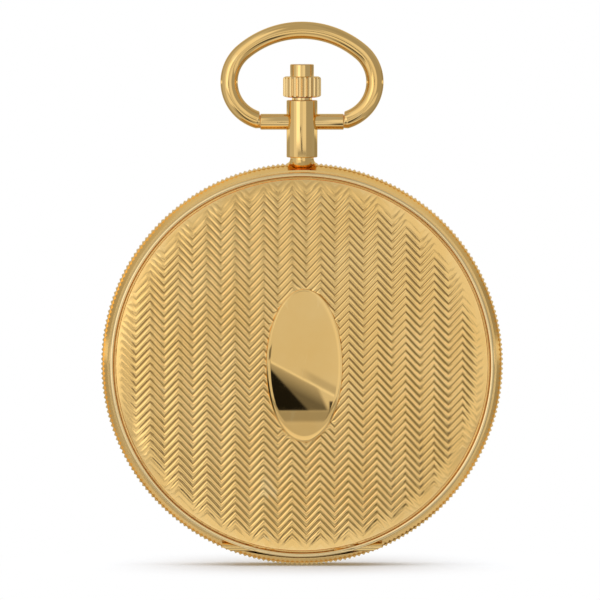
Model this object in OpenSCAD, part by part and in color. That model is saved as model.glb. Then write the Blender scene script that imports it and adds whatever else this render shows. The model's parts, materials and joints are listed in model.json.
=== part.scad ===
// Quartz pocket watch in a full hunter case: a hinged front cover opened by a push button in the crown.
// Every piece is drawn with the watch lying on its back: X to three o'clock, Y to twelve o'clock and
// Z out of the front cover, with the winding stem's axis on the plane Z = 0. upright() then stands the
// watch on its milled edge, with the front cover facing -Y and the pendant on top.

/* [Case] */
// Radius over the tips of the milled edge
case_r = 24; // [23.6:0.1:25]
// Depth of the milled grooves
edge_depth = 0.22; // [0.12:0.02:0.3]
// Number of milled grooves
edge_teeth = 260; // [200:20:300]
// Width of the milled edge
edge_w = 2.4; // [1.8:0.1:3]
// Height of the band's front face over the stem
band_front = 3; // [2.9:0.05:3.3]
// Depth of the band's back face behind the stem
band_back = 2.6; // [2.5:0.05:3]
// How far the bevels draw in between the milled edge and the band's faces
bevel_in = 0.58; // [0.4:0.02:0.7]
// Flat land that shows round the front cover
land_w = 0.25; // [0.15:0.05:0.35]
// Width of the band between the movement's chamber and the front cover's rim
chamber_wall = 2.2; // [2.1:0.05:2.4]

/* [Covers] */
// Diameter of the polished bead round a cover
bead_d = 0.56; // [0.4:0.02:0.7]
// Diameter of the fine ring inside the bead
fine_ring_d = 0.22; // [0.14:0.02:0.3]
// Height of the bead's centre over the face that the cover sits on
bead_h = 0.62; // [0.56:0.02:0.8]
// Width of the front cover's rim
rim_w = 1.15; // [1:0.05:1.3]
// Thickness of the covers' domes
cover_t = 0.5; // [0.4:0.05:0.6]
// Rise of the front cover's dome from its edge to its middle
front_rise = 1.6; // [1.3:0.1:2]
// Rise of the back cover from its edge to its flat middle
back_rise = 1; // [0.7:0.1:1.3]
// Radius of the back cover's flat middle, which stands up as a plain disc
back_flat_r = 10; // [6:1:14]
// Height of the plain disc over the back cover's shoulder
back_disc_h = 0.15; // [0.1:0.01:0.2]
// Half height of the oval shield on the front cover
shield_h = 9.07; // [6:0.1:11]
// Half width of the oval shield
shield_w = 4.5; // [3:0.1:6]
// Height of the shield's middle over the dome
shield_t = 0.3; // [0.2:0.01:0.36]
// Radius of the shield's pillow form
shield_r = 120; // [100:5:140]

/* [Hinge] */
// Distance of the hinge axis inside the front cover's edge
hinge_in = 1.25; // [1.15:0.05:1.35]
// Height of the hinge axis over the band's front face
hinge_up = 0.15; // [0.1:0.01:0.2]
// Diameter of the hinge barrel
barrel_d = 1.08; // [1:0.02:1.12]
// Length of the whole hinge barrel
barrel_l = 19.04; // [18.4:0.1:19.6]
// Length of the cover's middle knuckle
knuckle_l = 11; // [10:0.5:12]
// Diameter of the hinge pin
pin_d = 0.5; // [0.4:0.02:0.6]

/* [Crystal and dial] */
// Width of the bezel's seat outside the chamber's wall
bezel_seat = 1.1; // [0.9:0.05:1.3]
// How far the bezel's ledge reaches over the dial's edge
dial_cover = 0.5; // [0.4:0.05:0.8]
// Thickness of the bezel
bezel_t = 1.3; // [1.2:0.05:1.4]
// Thickness of the crystal at its edge
crystal_t = 0.6; // [0.5:0.05:0.7]
// Rise of the crystal's outer dome
crystal_rise = 1.1; // [0.8:0.1:1.2]
// How far the dial's edge lies inside the chamber's wall
dial_in = 0.7; // [0.6:0.05:0.8]
// Thickness of the dial
dial_t = 0.4; // [0.3:0.05:0.45]
// Height of the dial's seat over the stem
dial_seat = 1.5; // [1.5:0.02:1.6]

/* [Time shown] */
// Whole hours
shown_h = 10; // [0:1:11]
// Whole minutes
shown_m = 8; // [0:1:59]
// Seconds
shown_s = 35; // [0:1:59]

/* [Hands] */
// Length of the hour hand
hour_l = 10.4; // [8:0.2:12]
// Length of the minute hand
minute_l = 15.4; // [13:0.2:16.5]
// Length of the second hand
second_l = 15.8; // [13:0.2:16.5]
// Width of the hour hand's leaf
hour_leaf_w = 1.6; // [1.2:0.1:2]
// Width of the minute hand's leaf
minute_leaf_w = 1.1; // [0.8:0.1:1.5]
// Length of the second hand's tail
second_tail = 4; // [3:0.2:5]
// Thickness of the hour and minute hands
hand_t = 0.12; // [0.1:0.01:0.14]

/* [Pendant and bail] */
// Radius of the pendant tube
pendant_r = 1.85; // [1.8:0.05:2]
// Radius of the narrow neck under the tube
neck_r = 1.4; // [1.4:0.05:1.6]
// Half width of the pendant's foot, along the milled edge
foot_r = 1.85; // [1.8:0.05:2]
// Reach of the pendant's foot over the band's front bevel
foot_front = 2.8; // [2.4:0.05:2.85]
// Height of the neck between the milled edge and the tube
neck_h = 0.62; // [0.5:0.02:0.9]
// Length of the pendant tube
tube_l = 6.84; // [6.4:0.02:7.4]
// Radius of the arms that carry the bail
arm_r = 0.95; // [0.85:0.05:1.05]
// Height of the arms' axis over the bottom of the tube
arm_up = 4.25; // [3.8:0.05:4.6]
// Distance of the joint between arm and bail from the middle
arm_x = 4.98; // [4.6:0.02:5.4]
// Diameter of the bail's wire
wire_d = 2.08; // [1.8:0.02:2.2]
// Radius of the bail's flat top arc
bail_top_r = 10.85; // [10:0.05:12]
// Angle of the top arc on each side
bail_top_a = 40.6; // [36:0.2:44]
// Radius of the bail's side arcs
bail_side_r = 4.68; // [4.4:0.02:5]
// Angle of each side arc
bail_side_a = 101.8; // [98:0.2:106]
// Radius of the lower arcs that run in to the arms
bail_foot_r = 5; // [4.8:0.05:5.4]
// Diameter of the bail's pivots
pivot_d = 0.8; // [0.6:0.05:1]
// Length of each pivot inside its arm
pivot_l = 1.2; // [0.8:0.1:1.6]

/* [Crown and button] */
// Radius of the crown
crown_r = 2.27; // [2.2:0.01:2.6]
// Height of the crown
crown_h = 2.52; // [2.3:0.02:2.8]
// Gap between the pendant tube and the crown
crown_gap = 0.31; // [0.2:0.01:0.5]
// Number of flutes on the crown
crown_flutes = 24; // [18:1:30]
// Radius of the crown's collar inside the pendant tube
collar_r = 1.2; // [1.15:0.01:1.3]
// How far the crown pulls out to set the hands
pull_travel = 0.8; // [0.6:0.1:0.8]
// Radius of the push button
button_r = 1.42; // [1.3:0.02:1.6]
// How far the button stands out of the crown
button_out = 1.45; // [1.2:0.05:1.6]
// How far the button goes in to open the cover
press_travel = 0.7; // [0.6:0.05:0.7]
// Radius of the stem
stem_r = 0.8; // [0.75:0.01:0.8]
// Radius of the push rod inside the stem
rod_r = 0.4; // [0.34:0.02:0.4]
// Turns of the button's return spring
spring_turns = 5; // [4:1:6]

/* [Movement] */
// Radius of the movement
movement_r = 13; // [12.6:0.1:13.4]
// Depth of the movement ring behind the stem
ring_back = 1.9; // [1.6:0.1:2.2]
// Distance between the centre and the minute wheel
motion_d = 3; // [2.9:0.05:3.2]
// Distance between the centre and the third wheel
third_d = 3.06; // [3:0.02:3.2]
// Distance between the centre and the fifth wheel
fifth_d = 3; // [2.95:0.01:3.1]
// Distance between the fifth wheel and the rotor
rotor_d = 2.24; // [2.2:0.02:2.3]
// Radius of the button cell
cell_r = 3.4; // [3:0.1:3.5]
// Height of the button cell
cell_h = 2.6; // [2.1:0.1:2.6]

/* [Fits] */
// Running clearance of a shaft in its bore
run = 0.03; // [0.02:0.01:0.05]
// Gap round pieces that are set in by hand
slip = 0.05; // [0.03:0.01:0.08]
// Gap round the parts that swing with the cover
swing = 0.06; // [0.04:0.01:0.08]

/* [Hidden] */
$fn = 96;
fine = 720;
eps = 0.01;

gold = "#d8b06a";
pale_gold = "#e6c98c";
steel = "#b9bcc0";
brass = "#c9a353";
rubber = "#2c2c2e";

// Case
root_r = case_r - edge_depth;
bevel_r = root_r - 0.03;
land_r = root_r - bevel_in;
cover_r = land_r - land_w;
rim_in_r = cover_r - rim_w;
chamber_r = rim_in_r - chamber_wall;
seat_gap = 0.05;
cover_floor = band_front + seat_gap;
skirt_r = chamber_r + 1.4;
skirt_h = 1.2;
skirt_t = 0.6;
bead_r = cover_r - bead_d / 2;
fine_ring_r = cover_r - bead_d - fine_ring_d / 2 - 0.05;
field_r = fine_ring_r - fine_ring_d / 2;
field_h = 0.9;
shield_x = 0.28;
front_edge_z = band_front + field_h;
front_top_z = front_edge_z + front_rise;
front_big_r = (field_r * field_r + front_rise * front_rise) / (2 * front_rise);
back_edge_z = -band_back - 0.7;
back_top_z = back_edge_z - back_rise;
stand_y = (front_top_z + shield_t + back_top_z) / 2;

// Bezel, crystal and dial
bezel_r = chamber_r + bezel_seat;
dial_r = chamber_r - dial_in;
sight_r = dial_r - dial_cover;
bezel_z = dial_seat + dial_t + 0.1;
lip_r = dial_r + 0.2;
ledge_t = 0.5;
crystal_r = sight_r + 0.65;
gasket_t = 0.1;
gasket_wall = 0.2;
crystal_z = bezel_z + ledge_t + gasket_t;
crystal_in_rise = crystal_rise - 0.1;

// Hinge
hinge_y = -(cover_r - hinge_in);
hinge_z = band_front + hinge_up;
barrel_r = barrel_d / 2;
bead_z = band_front + bead_h;
gutter_half = knuckle_l / 2 + 1.9;

// Pendant, crown and button
tube_from = case_r + neck_h;
tube_to = tube_from + tube_l;
arm_y = tube_from + arm_up;
foot_back = foot_front - band_front + band_back;
crown_y = tube_to + crown_gap;
crown_top = crown_y + crown_h;
socket_r = collar_r + slip;
socket_y = tube_to - 2.4;
collar_y = socket_y + 1.1;
stem_bore_r = stem_r + run;
spigot_r = 1.58;
spigot_in_r = 1.32;
spigot_y = rim_in_r + 0.25;
spring_bore_r = 0.75;
spring_floor = collar_y + 0.75;
button_floor = crown_top - 1.05;
spring_wire = 0.2;
spring_r = 0.6;
release_y = chamber_r + 0.05;
release_l = 0.9;
cross_y = release_y + release_l / 2;
cross_r = 0.14;
cross_half = 1;
release_r = 1.1;

// Catch
leaf_t = 0.35;
leaf_r = chamber_r - slip;
leaf_h = 2.4;
nose_w = 2.4;
nose_out_r = rim_in_r - seat_gap;
nose_t = 0.35;
nose_up = 0.3;
nose_shift = 0.3;
catch_a = 50;
catch_eye_r = 0.65;
catch_pivot_r = 0.45;
catch_at = (leaf_r - catch_eye_r) * [cos(90 + catch_a), sin(90 + catch_a)];

// Lift spring, and the finger that reaches from it to the cover's knuckle
lift_t = 0.3;
lift_w = 1;
spring_a = 40;
finger_w = 1;
finger_t = 0.2;
finger_h = 0.5;
finger_z = 0.7;
finger_y = hinge_y + barrel_r - 0.12;

// Movement levels over the stem
plate_z = 0.35;
plate_t = 0.45;
plate_top = plate_z + plate_t;
bridge_z = -1.6;
bridge_t = 0.4;
motion_z = plate_top + 0.07;
wheel_t = 0.2;
hour_z = motion_z + 0.27;
hour_hand_z = dial_seat + dial_t + 0.15;
minute_hand_z = hour_hand_z + hand_t + 0.13;
second_hand_z = minute_hand_z + hand_t + 0.13;
second_hand_t = 0.08;
minutes_now = shown_m + shown_s / 60;
hours_now = shown_h + minutes_now / 60;
arbor_r = 0.12;
cannon_r = 0.36;
hour_tube_r = 0.62;

// Tooth counts of the train
rotor_leaves = 8;
fifth_teeth = 48;
fifth_leaves = 8;
second_teeth = 40;
second_leaves = 8;
third_teeth = 60;
third_leaves = 8;
center_teeth = 64;
cannon_leaves = 12;
minute_teeth = 36;
minute_leaves = 10;
hour_teeth = 40;
setting_teeth = 20;

// Modules that make each pair fit its centre distance
rotor_mod = 2 * rotor_d / (rotor_leaves + fifth_teeth);
fifth_mod = 2 * fifth_d / (fifth_leaves + second_teeth);
second_mod = 2 * third_d / (second_leaves + third_teeth);
third_mod = 2 * third_d / (third_leaves + center_teeth);
cannon_mod = 2 * motion_d / (cannon_leaves + minute_teeth);
minute_mod = 2 * motion_d / (minute_leaves + hour_teeth);
setting_d = cannon_mod * (minute_teeth + setting_teeth) / 2;

// Directions of the axes, in degrees from three o'clock
third_a = 210;
fifth_a = 330;
rotor_a = 300;
minute_a = 90;
third_at = third_d * [cos(third_a), sin(third_a)];
fifth_at = fifth_d * [cos(fifth_a), sin(fifth_a)];
rotor_at = fifth_at + rotor_d * [cos(rotor_a), sin(rotor_a)];
minute_at = motion_d * [cos(minute_a), sin(minute_a)];
setting_at = (motion_d + setting_d) * [cos(minute_a), sin(minute_a)];

// Stem inside the movement
clutch_y = setting_at[1] + 2.5;
clutch_l = 1.6;
square_w = 0.9;
square_to = clutch_y + clutch_l + 0.5;
groove_y = square_to + 0.5;
groove_w = 0.5;
groove_r = 0.5;
lever_at = [2.2, groove_y + pull_travel / 2];
lever_post_r = 0.3;
lever_z = plate_top + 0.07;
post_r = 0.22;
bridge_r = 7.2;
bridge_cut = 5.6;
bridge_post_r = 0.65;
bridge_hole_r = 0.3;
bridge_posts = [[5.5, 1.8], [-2.2, 5.4], [-6.2, -3.6]];

// Cell, coil and board
cell_a = 151;
cell_d = movement_r - cell_r - 0.92;
cell_at = cell_d * [cos(cell_a), sin(cell_a)];
coil_y = 4 - movement_r;
coil_l = 8;
coil_r = 0.9;
coil_z = -0.75;
board_z = -1.5;
board_t = 0.25;

// Stands the lying watch on its milled edge
module upright() {
    translate([0, stand_y, case_r]) rotate([90, 0, 0]) children();
}

// A ring from radius a to radius b, between two heights
module ring(a, b, z0, z1) {
    translate([0, 0, z0]) difference() {
        cylinder(r = b, h = z1 - z0);
        translate([0, 0, -1]) cylinder(r = a, h = z1 - z0 + 2);
    }
}

// A cylinder along Y between two distances from the centre
module along_y(r, y0, y1) {
    translate([0, y0, 0]) rotate([-90, 0, 0]) cylinder(r = r, h = y1 - y0);
}

// A cylinder along the hinge axis, centred on the middle of the watch
module along_hinge(r, l) {
    translate([-l / 2, hinge_y, hinge_z]) rotate([0, 90, 0]) cylinder(r = r, h = l);
}

// Half section of a domed disc: flat floor, rim radius r, edge height z0 and rise of the middle
module dome_section(r, floor_z, z0, rise) {
    big_r = (r * r + rise * rise) / (2 * rise);
    intersection() {
        translate([0, z0 + rise - big_r]) circle(r = big_r, $fn = fine);
        translate([0, floor_z]) square([r, z0 + rise - floor_z + 1]);
    }
}

// A toothed disc, a tooth pointing along +X; w is the tooth's width at the pitch line, as a share of the pitch
module toothed(n, m, t, w = 0.42) {
    pitch_r = n * m / 2;
    tip_r = pitch_r + 0.8 * m;
    foot_r = pitch_r - 1.1 * m;
    step = 360 / n;
    linear_extrude(t) polygon([
        for (i = [0 : n - 1], p = [[foot_r, -0.32], [pitch_r, -w / 2], [tip_r, -0.1], [tip_r, 0.1],
                [pitch_r, w / 2], [foot_r, 0.32]])
            let (a = (i + p[1]) * step) p[0] * [cos(a), sin(a)]
    ]);
}

// Farthest reach of the cover's rim from the hinge axis, at a distance x from the middle
function heel(x) =
    let (dy = sqrt(bead_r * bead_r - x * x) + hinge_y)
    sqrt(dy * dy + pow(bead_z - hinge_z, 2)) + bead_d / 2;

// The band with its milled edge, bevels and lands, and the seats turned inside it
module band_blank() {
    skirt_top = skirt_h - band_back + slip;
    difference() {
        band_outside();
        rotate_extrude() polygon([
            [0, -band_back - 1], [skirt_r + slip, -band_back - 1], [skirt_r + slip, skirt_top],
            [chamber_r, skirt_top], [chamber_r, dial_seat], [lip_r, dial_seat], [lip_r, bezel_z],
            [bezel_r + slip / 2, bezel_z], [bezel_r + slip / 2, band_front + 1], [0, band_front + 1]
        ]);
    }
}

// The band's outside as one closed solid
module band_outside() {
    half = edge_w / 2;
    step = 360 / edge_teeth;
    translate([0, 0, -half]) linear_extrude(edge_w) polygon([
        for (i = [0 : edge_teeth - 1], k = [0, 0.5])
            let (r = k == 0 ? case_r : root_r) r * [cos((i + k) * step), sin((i + k) * step)]
    ]);
    rotate_extrude() polygon([
        [0, -band_back], [land_r, -band_back], [bevel_r, -half], [bevel_r, half],
        [land_r, band_front], [0, band_front]
    ]);
}

// Room for the cover's heel and middle knuckle as they swing down
module hinge_gutter() {
    intersection() {
        translate([0, hinge_y, hinge_z]) rotate([0, 90, 0]) rotate_extrude() polygon(concat(
            [[0, -gutter_half]],
            [for (i = [-8 : 8]) [heel(i * gutter_half / 8) + swing / 2, i * gutter_half / 8]],
            [[0, gutter_half]]
        ));
        translate([-case_r, hinge_y - case_r, 0]) cube([2 * case_r, case_r + barrel_r + swing, case_r]);
    }
}

// Ends of the hinge barrel that belong to the band, with the webs under them
module band_knuckles() {
    intersection() {
        union() {
            difference() {
                along_hinge(barrel_r, barrel_l);
                along_hinge(barrel_r + 1, knuckle_l + 2 * slip);
            }
            for (side = [-1, 1]) {
                web_l = barrel_l / 2 - gutter_half;
                translate([side * (gutter_half + web_l / 2), hinge_y, hinge_z / 2 + 0.6])
                    cube([web_l, barrel_d, hinge_z - 1.2], center = true);
            }
        }
        cylinder(r = root_r - 0.03, h = 3 * band_front);
    }
}

module case_band() {
    color(gold) upright() difference() {
        union() {
            difference() {
                band_blank();
                hinge_gutter();
                barrel_notches();
                catch_slot();
                spring_slot();
            }
            band_knuckles();
        }
        along_hinge(pin_d / 2, barrel_l + 2);
        along_y(spigot_r + 0.02, chamber_r - 2, case_r + 1);
    }
}

// Clearance beside the ends of the barrel, where the rim passes them
module barrel_notches() {
    for (side = [-1, 1])
        translate([side * (barrel_l / 2 - 0.7), hinge_y + barrel_r + 0.09, band_front])
            cube([1.5, 0.3, 1.2], center = true);
}

// Passage for the catch from the chamber, under the bezel and up to the front face
module catch_slot() {
    w = nose_w + nose_shift + 0.6;
    z = 0.7;
    translate([-nose_w / 2 - 0.3, chamber_r - 1, z]) cube([w, rim_in_r + seat_gap - chamber_r + 1, 0.9]);
    translate([-nose_w / 2 - 0.3, bezel_r + slip, z]) cube([w, rim_in_r - bezel_r, band_front]);
}

// Passage for the lift spring's finger from the chamber to the gutter
module spring_slot() {
    gap = 0.08;
    w = 2 * finger_w + 0.2;
    translate([-w / 2, finger_y - gap, finger_z - 0.2]) {
        cube([w, lift_t - chamber_r - finger_y + gap, finger_h + 0.4]);
        cube([w, finger_t + 2.5 * gap, band_front]);
    }
}

module pendant() {
    color(gold) upright() difference() {
        union() {
            difference() {
                union() {
                    rotate([-90, 0, 0]) rotate_extrude() polygon([
                        [0, land_r - 0.4], [neck_r, land_r - 0.4], [neck_r, tube_from - 0.02],
                        [pendant_r - 0.12, tube_from], [pendant_r, tube_from + 0.12],
                        [pendant_r, tube_to - 0.15], [pendant_r - 0.15, tube_to], [0, tube_to]
                    ]);
                    saddle_foot();
                }
                rotate_extrude() polygon([
                    [0, -case_r], [land_r, -case_r], [land_r, -band_back], [root_r, -edge_w / 2],
                    [case_r, -edge_w / 2], [case_r, edge_w / 2], [root_r, edge_w / 2],
                    [land_r, band_front], [land_r, case_r], [0, case_r]
                ]);
            }
            along_y(spigot_r, spigot_y, case_r);
            translate([-arm_x, arm_y, 0]) rotate([0, 90, 0]) cylinder(r = arm_r, h = 2 * arm_x);
        }
        along_y(stem_bore_r, spigot_y - 1, tube_to + 1);
        along_y(spigot_in_r, spigot_y - 1, case_r - 0.6);
        along_y(socket_r, socket_y, tube_to + 1);
        for (side = [-1, 1])
            translate([side * (arm_x - pivot_l / 2 + 0.05), arm_y, 0]) rotate([0, 90, 0])
                cylinder(r = pivot_d / 2 + run, h = pivot_l + 0.1, center = true);
    }
}

// The flared foot, from the round neck out to its saddle on the milled edge and the bevels
module saddle_foot() {
    sides = 48;
    steps = 7;
    top = tube_from - 0.1;
    start_r = neck_r + eps;
    points = [
        for (i = [0 : steps], j = [0 : sides - 1])
            let (
                a = i * 90 / steps,
                b = j * 360 / sides,
                reach = sin(b) > 0 ? foot_front : foot_back,
                deep = top - case_r + 0.08 + (case_r - land_r - 0.15) * pow(sin(b), 2)
            )
            [(start_r + (foot_r - start_r) * (1 - cos(a))) * cos(b), top - deep * sin(a),
                (start_r + (reach - start_r) * (1 - cos(a))) * sin(b)]
    ];
    base = [for (j = [0 : sides - 1]) let (p = points[steps * sides + j]) [p[0], land_r - 0.4, p[2]]];
    last = (steps + 1) * sides;
    polyhedron(concat(points, base), concat(
        [for (i = [0 : steps], j = [0 : sides - 1], k = [0, 1])
            let (p = i * sides + j, q = i * sides + (j + 1) % sides)
            k == 0 ? [p, q + sides, q] : [p, p + sides, q + sides]],
        [for (j = [1 : sides - 2]) [0, j, j + 1]],
        [for (j = [1 : sides - 2]) [last, last + j + 1, last + j]]
    ));
}

module bezel() {
    top = bezel_z + bezel_t;
    color(gold) upright() rotate_extrude() polygon([
        [sight_r, bezel_z], [bezel_r, bezel_z], [bezel_r, top - 0.4], [bezel_r - 0.15, top - 0.15],
        [bezel_r - 0.4, top], [crystal_r + gasket_wall + 0.15, top], [crystal_r + gasket_wall, top - 0.15],
        [crystal_r + gasket_wall, bezel_z + ledge_t], [sight_r + 0.2, bezel_z + ledge_t],
        [sight_r, bezel_z + ledge_t - 0.2]
    ]);
}

module crystal_gasket() {
    color(rubber) upright() {
        ring(sight_r + 0.25, crystal_r + gasket_wall, bezel_z + ledge_t, crystal_z);
        ring(crystal_r, crystal_r + gasket_wall, crystal_z, crystal_z + crystal_t - 0.1);
    }
}

module crystal() {
    color([0.8, 0.9, 0.95, 0.35]) upright() rotate_extrude() difference() {
        dome_section(crystal_r, crystal_z, crystal_z + crystal_t, crystal_rise);
        dome_section(sight_r - 0.1, crystal_z - 1, crystal_z, crystal_in_rise);
    }
}

module back_cover() {
    seat = -band_back;
    color(gold) upright() difference() {
        rotate_extrude() difference() {
            union() {
                translate([0, back_top_z]) square([back_flat_r, cover_t]);
                back_shoulder();
                translate([rim_in_r, seat - bead_h + 0.1]) square([rim_w, bead_h - 0.1]);
                translate([rim_in_r - 0.3, back_edge_z + 0.04])
                    square([fine_ring_r - rim_in_r + 0.3, seat - back_edge_z - 0.04]);
                translate([bead_r, seat - bead_h + 0.1]) circle(r = bead_d / 2);
                translate([fine_ring_r, back_edge_z + 0.1]) circle(r = fine_ring_d / 2, $fn = 48);
                translate([skirt_r - skirt_t, back_edge_z + 0.2])
                    square([skirt_t, seat + skirt_h - back_edge_z - 0.2]);
                translate([skirt_r - skirt_t, back_edge_z])
                    square([rim_in_r - skirt_r + skirt_t, seat - back_edge_z]);
            }
            translate([-1, -2 * case_r]) square([1, 4 * case_r]);
            translate([skirt_r - 0.2, seat + 0.4]) square([1, 0.4]);
        }
        rotate(240) translate([cover_r + 0.35, 0, seat]) sphere(r = 0.6, $fn = 48);
    }
}

// The curved shoulder between the back cover's edge and its flat middle
module back_shoulder() {
    w = field_r - back_flat_r;
    top_z = back_top_z + back_disc_h;
    rise = back_rise - back_disc_h;
    big_r = (w * w + rise * rise) / (2 * rise);
    difference() {
        intersection() {
            translate([back_flat_r, top_z + big_r]) circle(r = big_r, $fn = fine);
            translate([back_flat_r - eps, top_z]) square([w + eps, rise + 1]);
        }
        translate([back_flat_r, top_z + big_r]) circle(r = big_r - cover_t, $fn = fine);
        translate([back_flat_r, -band_back]) square([w + 1, 5]);
    }
}

module back_gasket() {
    color(rubber) upright() rotate_extrude()
        translate([skirt_r - 0.2 + 0.12, -band_back + 0.6]) circle(r = 0.12, $fn = 32);
}

module movement_ring() {
    color("#e4e2dc") upright() difference() {
        ring(movement_r + slip, chamber_r - slip * 2, -ring_back, dial_seat);
        translate([0, (movement_r + chamber_r) / 2, 0])
            cube([2 * stem_r + 1.4, chamber_r - movement_r + 2, 2 * stem_r + 0.4], center = true);
        leaf_room();
        spring_room();
        translate([catch_at[0], catch_at[1], -ring_back - 1]) cylinder(r = catch_pivot_r + 0.01, h = 2);
    }
}

// Recess in the movement ring in which the catch spring flexes
module leaf_room() {
    intersection() {
        ring(chamber_r - 1.5, chamber_r + 1, -leaf_h / 2 - 0.1, 2 * dial_seat);
        rotate(90 - 8) sector(catch_a + 16);
    }
}

// A sector of the watch's plan, from +X over a degrees
module sector(a) {
    translate([0, 0, -case_r]) linear_extrude(2 * case_r)
        polygon(concat([[0, 0]], [for (i = [0 : 4]) 2 * case_r * [cos(i * a / 4), sin(i * a / 4)]]));
}

// Recess in the movement ring in which the lift spring lies
module spring_room() {
    intersection() {
        ring(chamber_r - 1.5, chamber_r + 1, -lift_w / 2 - 0.2, 2 * dial_seat);
        rotate(-90 - 6) sector(spring_a + 12);
    }
}

module dial() {
    color("#f4f1e6") upright() ring(hour_tube_r + 0.15, dial_r, dial_seat, dial_seat + dial_t);
}

module main_plate() {
    post_h = dial_seat - plate_z - 0.1;
    color(pale_gold) upright() {
        plate_body();
        for (at = [minute_at, setting_at]) translate([at[0], at[1], plate_z]) cylinder(r = post_r, h = post_h);
        translate([lever_at[0], lever_at[1], plate_z]) cylinder(r = lever_post_r, h = post_h);
    }
}

// The plate with its wall, its recesses and its bores
module plate_body() {
    difference() {
        union() {
            translate([0, 0, plate_z]) cylinder(r = movement_r, h = plate_t);
            ring(movement_r - 0.6, movement_r, -ring_back, plate_z + eps);
            ring(movement_r - 2, movement_r, plate_z, dial_seat);
        }
        translate([0, movement_r - 1.5, 0])
            cube([2 * stem_r + 0.4, 2 * (movement_r - clutch_y) + 2, 2 * stem_r + 0.1], center = true);
        translate([-stem_r - 0.4, clutch_y - 1.6, -stem_r]) cube([2 * stem_r + 0.8, 3.6, 3]);
        translate([-1.1, groove_y - 0.6, plate_z - 1]) cube([2.2, 2.2, 3]);
        translate([0.4, groove_y - 0.6, plate_top]) cube([lever_at[0] + 0.4, 2.4, 3]);
        translate([0, 0, plate_z - 1]) cylinder(r = cannon_r + 0.04, h = 2);
        for (at = [third_at, fifth_at, rotor_at]) translate([at[0], at[1], plate_z - 1])
            cylinder(r = arbor_r + run, h = 1.3);
        for (at = bridge_posts) translate([at[0], at[1], plate_z - 1]) cylinder(r = bridge_hole_r, h = 2);
        translate([cell_at[0], cell_at[1], plate_z - 1]) cylinder(r = cell_r + 0.1, h = 1 + 0.05);
    }
}

module train_bridge() {
    color(pale_gold) upright() difference() {
        union() {
            translate([0, 0, bridge_z - bridge_t]) linear_extrude(bridge_t) difference() {
                circle(r = bridge_r);
                translate([cell_at[0], cell_at[1]]) circle(r = cell_r + 0.4);
                translate([-bridge_r, -2 * bridge_r]) square([2 * bridge_r, 2 * bridge_r - bridge_cut]);
                translate([-2 * stem_r, clutch_y - 2.8]) square([4 * stem_r, bridge_r]);
            }
            for (at = bridge_posts) translate([at[0], at[1], bridge_z - eps])
                cylinder(r = bridge_post_r, h = plate_z - bridge_z + eps);
        }
        for (at = [[0, 0], third_at, fifth_at, rotor_at]) translate([at[0], at[1], bridge_z - bridge_t - 1])
            cylinder(r = arbor_r + run, h = bridge_t + 2);
        for (at = bridge_posts) translate([at[0], at[1], bridge_z - bridge_t - 1])
            cylinder(r = bridge_hole_r, h = plate_z - bridge_z + 2 + bridge_t);
    }
}

module bridge_screws() {
    color(steel) upright() for (at = bridge_posts) translate([at[0], at[1], 0]) difference() {
        union() {
            translate([0, 0, bridge_z - bridge_t - 0.25]) cylinder(r = 2 * bridge_hole_r, h = 0.25);
            translate([0, 0, bridge_z - bridge_t])
                cylinder(r = bridge_hole_r - eps, h = plate_top - 0.1 - bridge_z + bridge_t);
        }
        translate([-1, -0.08, bridge_z - bridge_t - 1]) cube([2, 0.16, 0.88]);
    }
}

module stator() {
    t = 0.4;
    color(steel) upright() translate([0, 0, coil_z - t / 2]) linear_extrude(t) difference() {
        union() {
            translate([-coil_l / 2 - 1.3, coil_y - 0.6]) square([1.2, 3.4]);
            translate([-coil_l / 2 - 1.3, coil_y + 2.6]) square([coil_l / 2 + 1.3 + rotor_at[0], 1.2]);
            translate([rotor_at[0] - 1.3, coil_y + 2.6]) square([2.6, rotor_at[1] - coil_y - 2.6 + 1.05]);
            translate([coil_l / 2 + 0.1, coil_y - 0.6]) square([1.2, 4.4]);
        }
        translate(rotor_at) circle(r = 0.9);
        for (a = [45, 225]) translate(rotor_at) rotate(a) translate([0.8, -0.1]) square([0.35, 0.2]);
    }
}

module coil() {
    color("#b3672f") upright() translate([-coil_l / 2 - 0.09, coil_y, coil_z]) rotate([0, 90, 0]) {
        cylinder(r = coil_r, h = coil_l + 0.18);
        for (x = [0, coil_l - 0.12]) translate([0, 0, x]) cylinder(r = coil_r + 0.15, h = 0.3);
    }
}

module circuit_board() {
    color("#2f6b4a") upright() {
        difference() {
            translate([0, 0, board_z]) linear_extrude(board_t) intersection() {
                circle(r = movement_r - 0.7);
                translate([-movement_r, coil_y + 0.6]) square([movement_r - 6.9, 8]);
            }
            translate([cell_at[0], cell_at[1], -5]) cylinder(r = cell_r + 0.15, h = 10);
        }
        translate([3 - movement_r, coil_y + 4.6, board_z + board_t]) cube([1.8, 1.8, 0.5]);
    }
}

module quartz_oscillator() {
    can_r = 0.7;
    color(steel) upright() translate([4.9 - movement_r, coil_y + 1.4, board_z - can_r]) rotate([-90, 0, 0])
        cylinder(r = can_r, h = 4.6);
}

module button_cell() {
    color(steel) upright() translate([cell_at[0], cell_at[1], 0]) {
        translate([0, 0, plate_z - cell_h]) cylinder(r = cell_r, h = cell_h - 0.35);
        translate([0, 0, plate_z - 0.35]) cylinder(r = cell_r - 0.5, h = 0.35);
    }
}

module cell_strap() {
    z = plate_z - cell_h - 0.2;
    reach = cell_r + 0.3;
    color(brass) upright() translate([cell_at[0] - reach, cell_at[1] - 0.6, z]) {
        cube([2 * reach - 0.4, 1.2, 0.2]);
        cube([0.22, 1.2, plate_z - z]);
    }
}

module catch_screw() {
    head_z = leaf_h / 2 + 0.03;
    color(steel) upright() translate([catch_at[0], catch_at[1], 0]) difference() {
        union() {
            translate([0, 0, -ring_back]) cylinder(r = catch_pivot_r, h = ring_back + head_z);
            translate([0, 0, head_z - eps]) cylinder(r = catch_eye_r, h = 0.22);
        }
        translate([-1, -0.08, head_z + 0.12]) cube([2, 0.16, 1]);
    }
}

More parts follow.
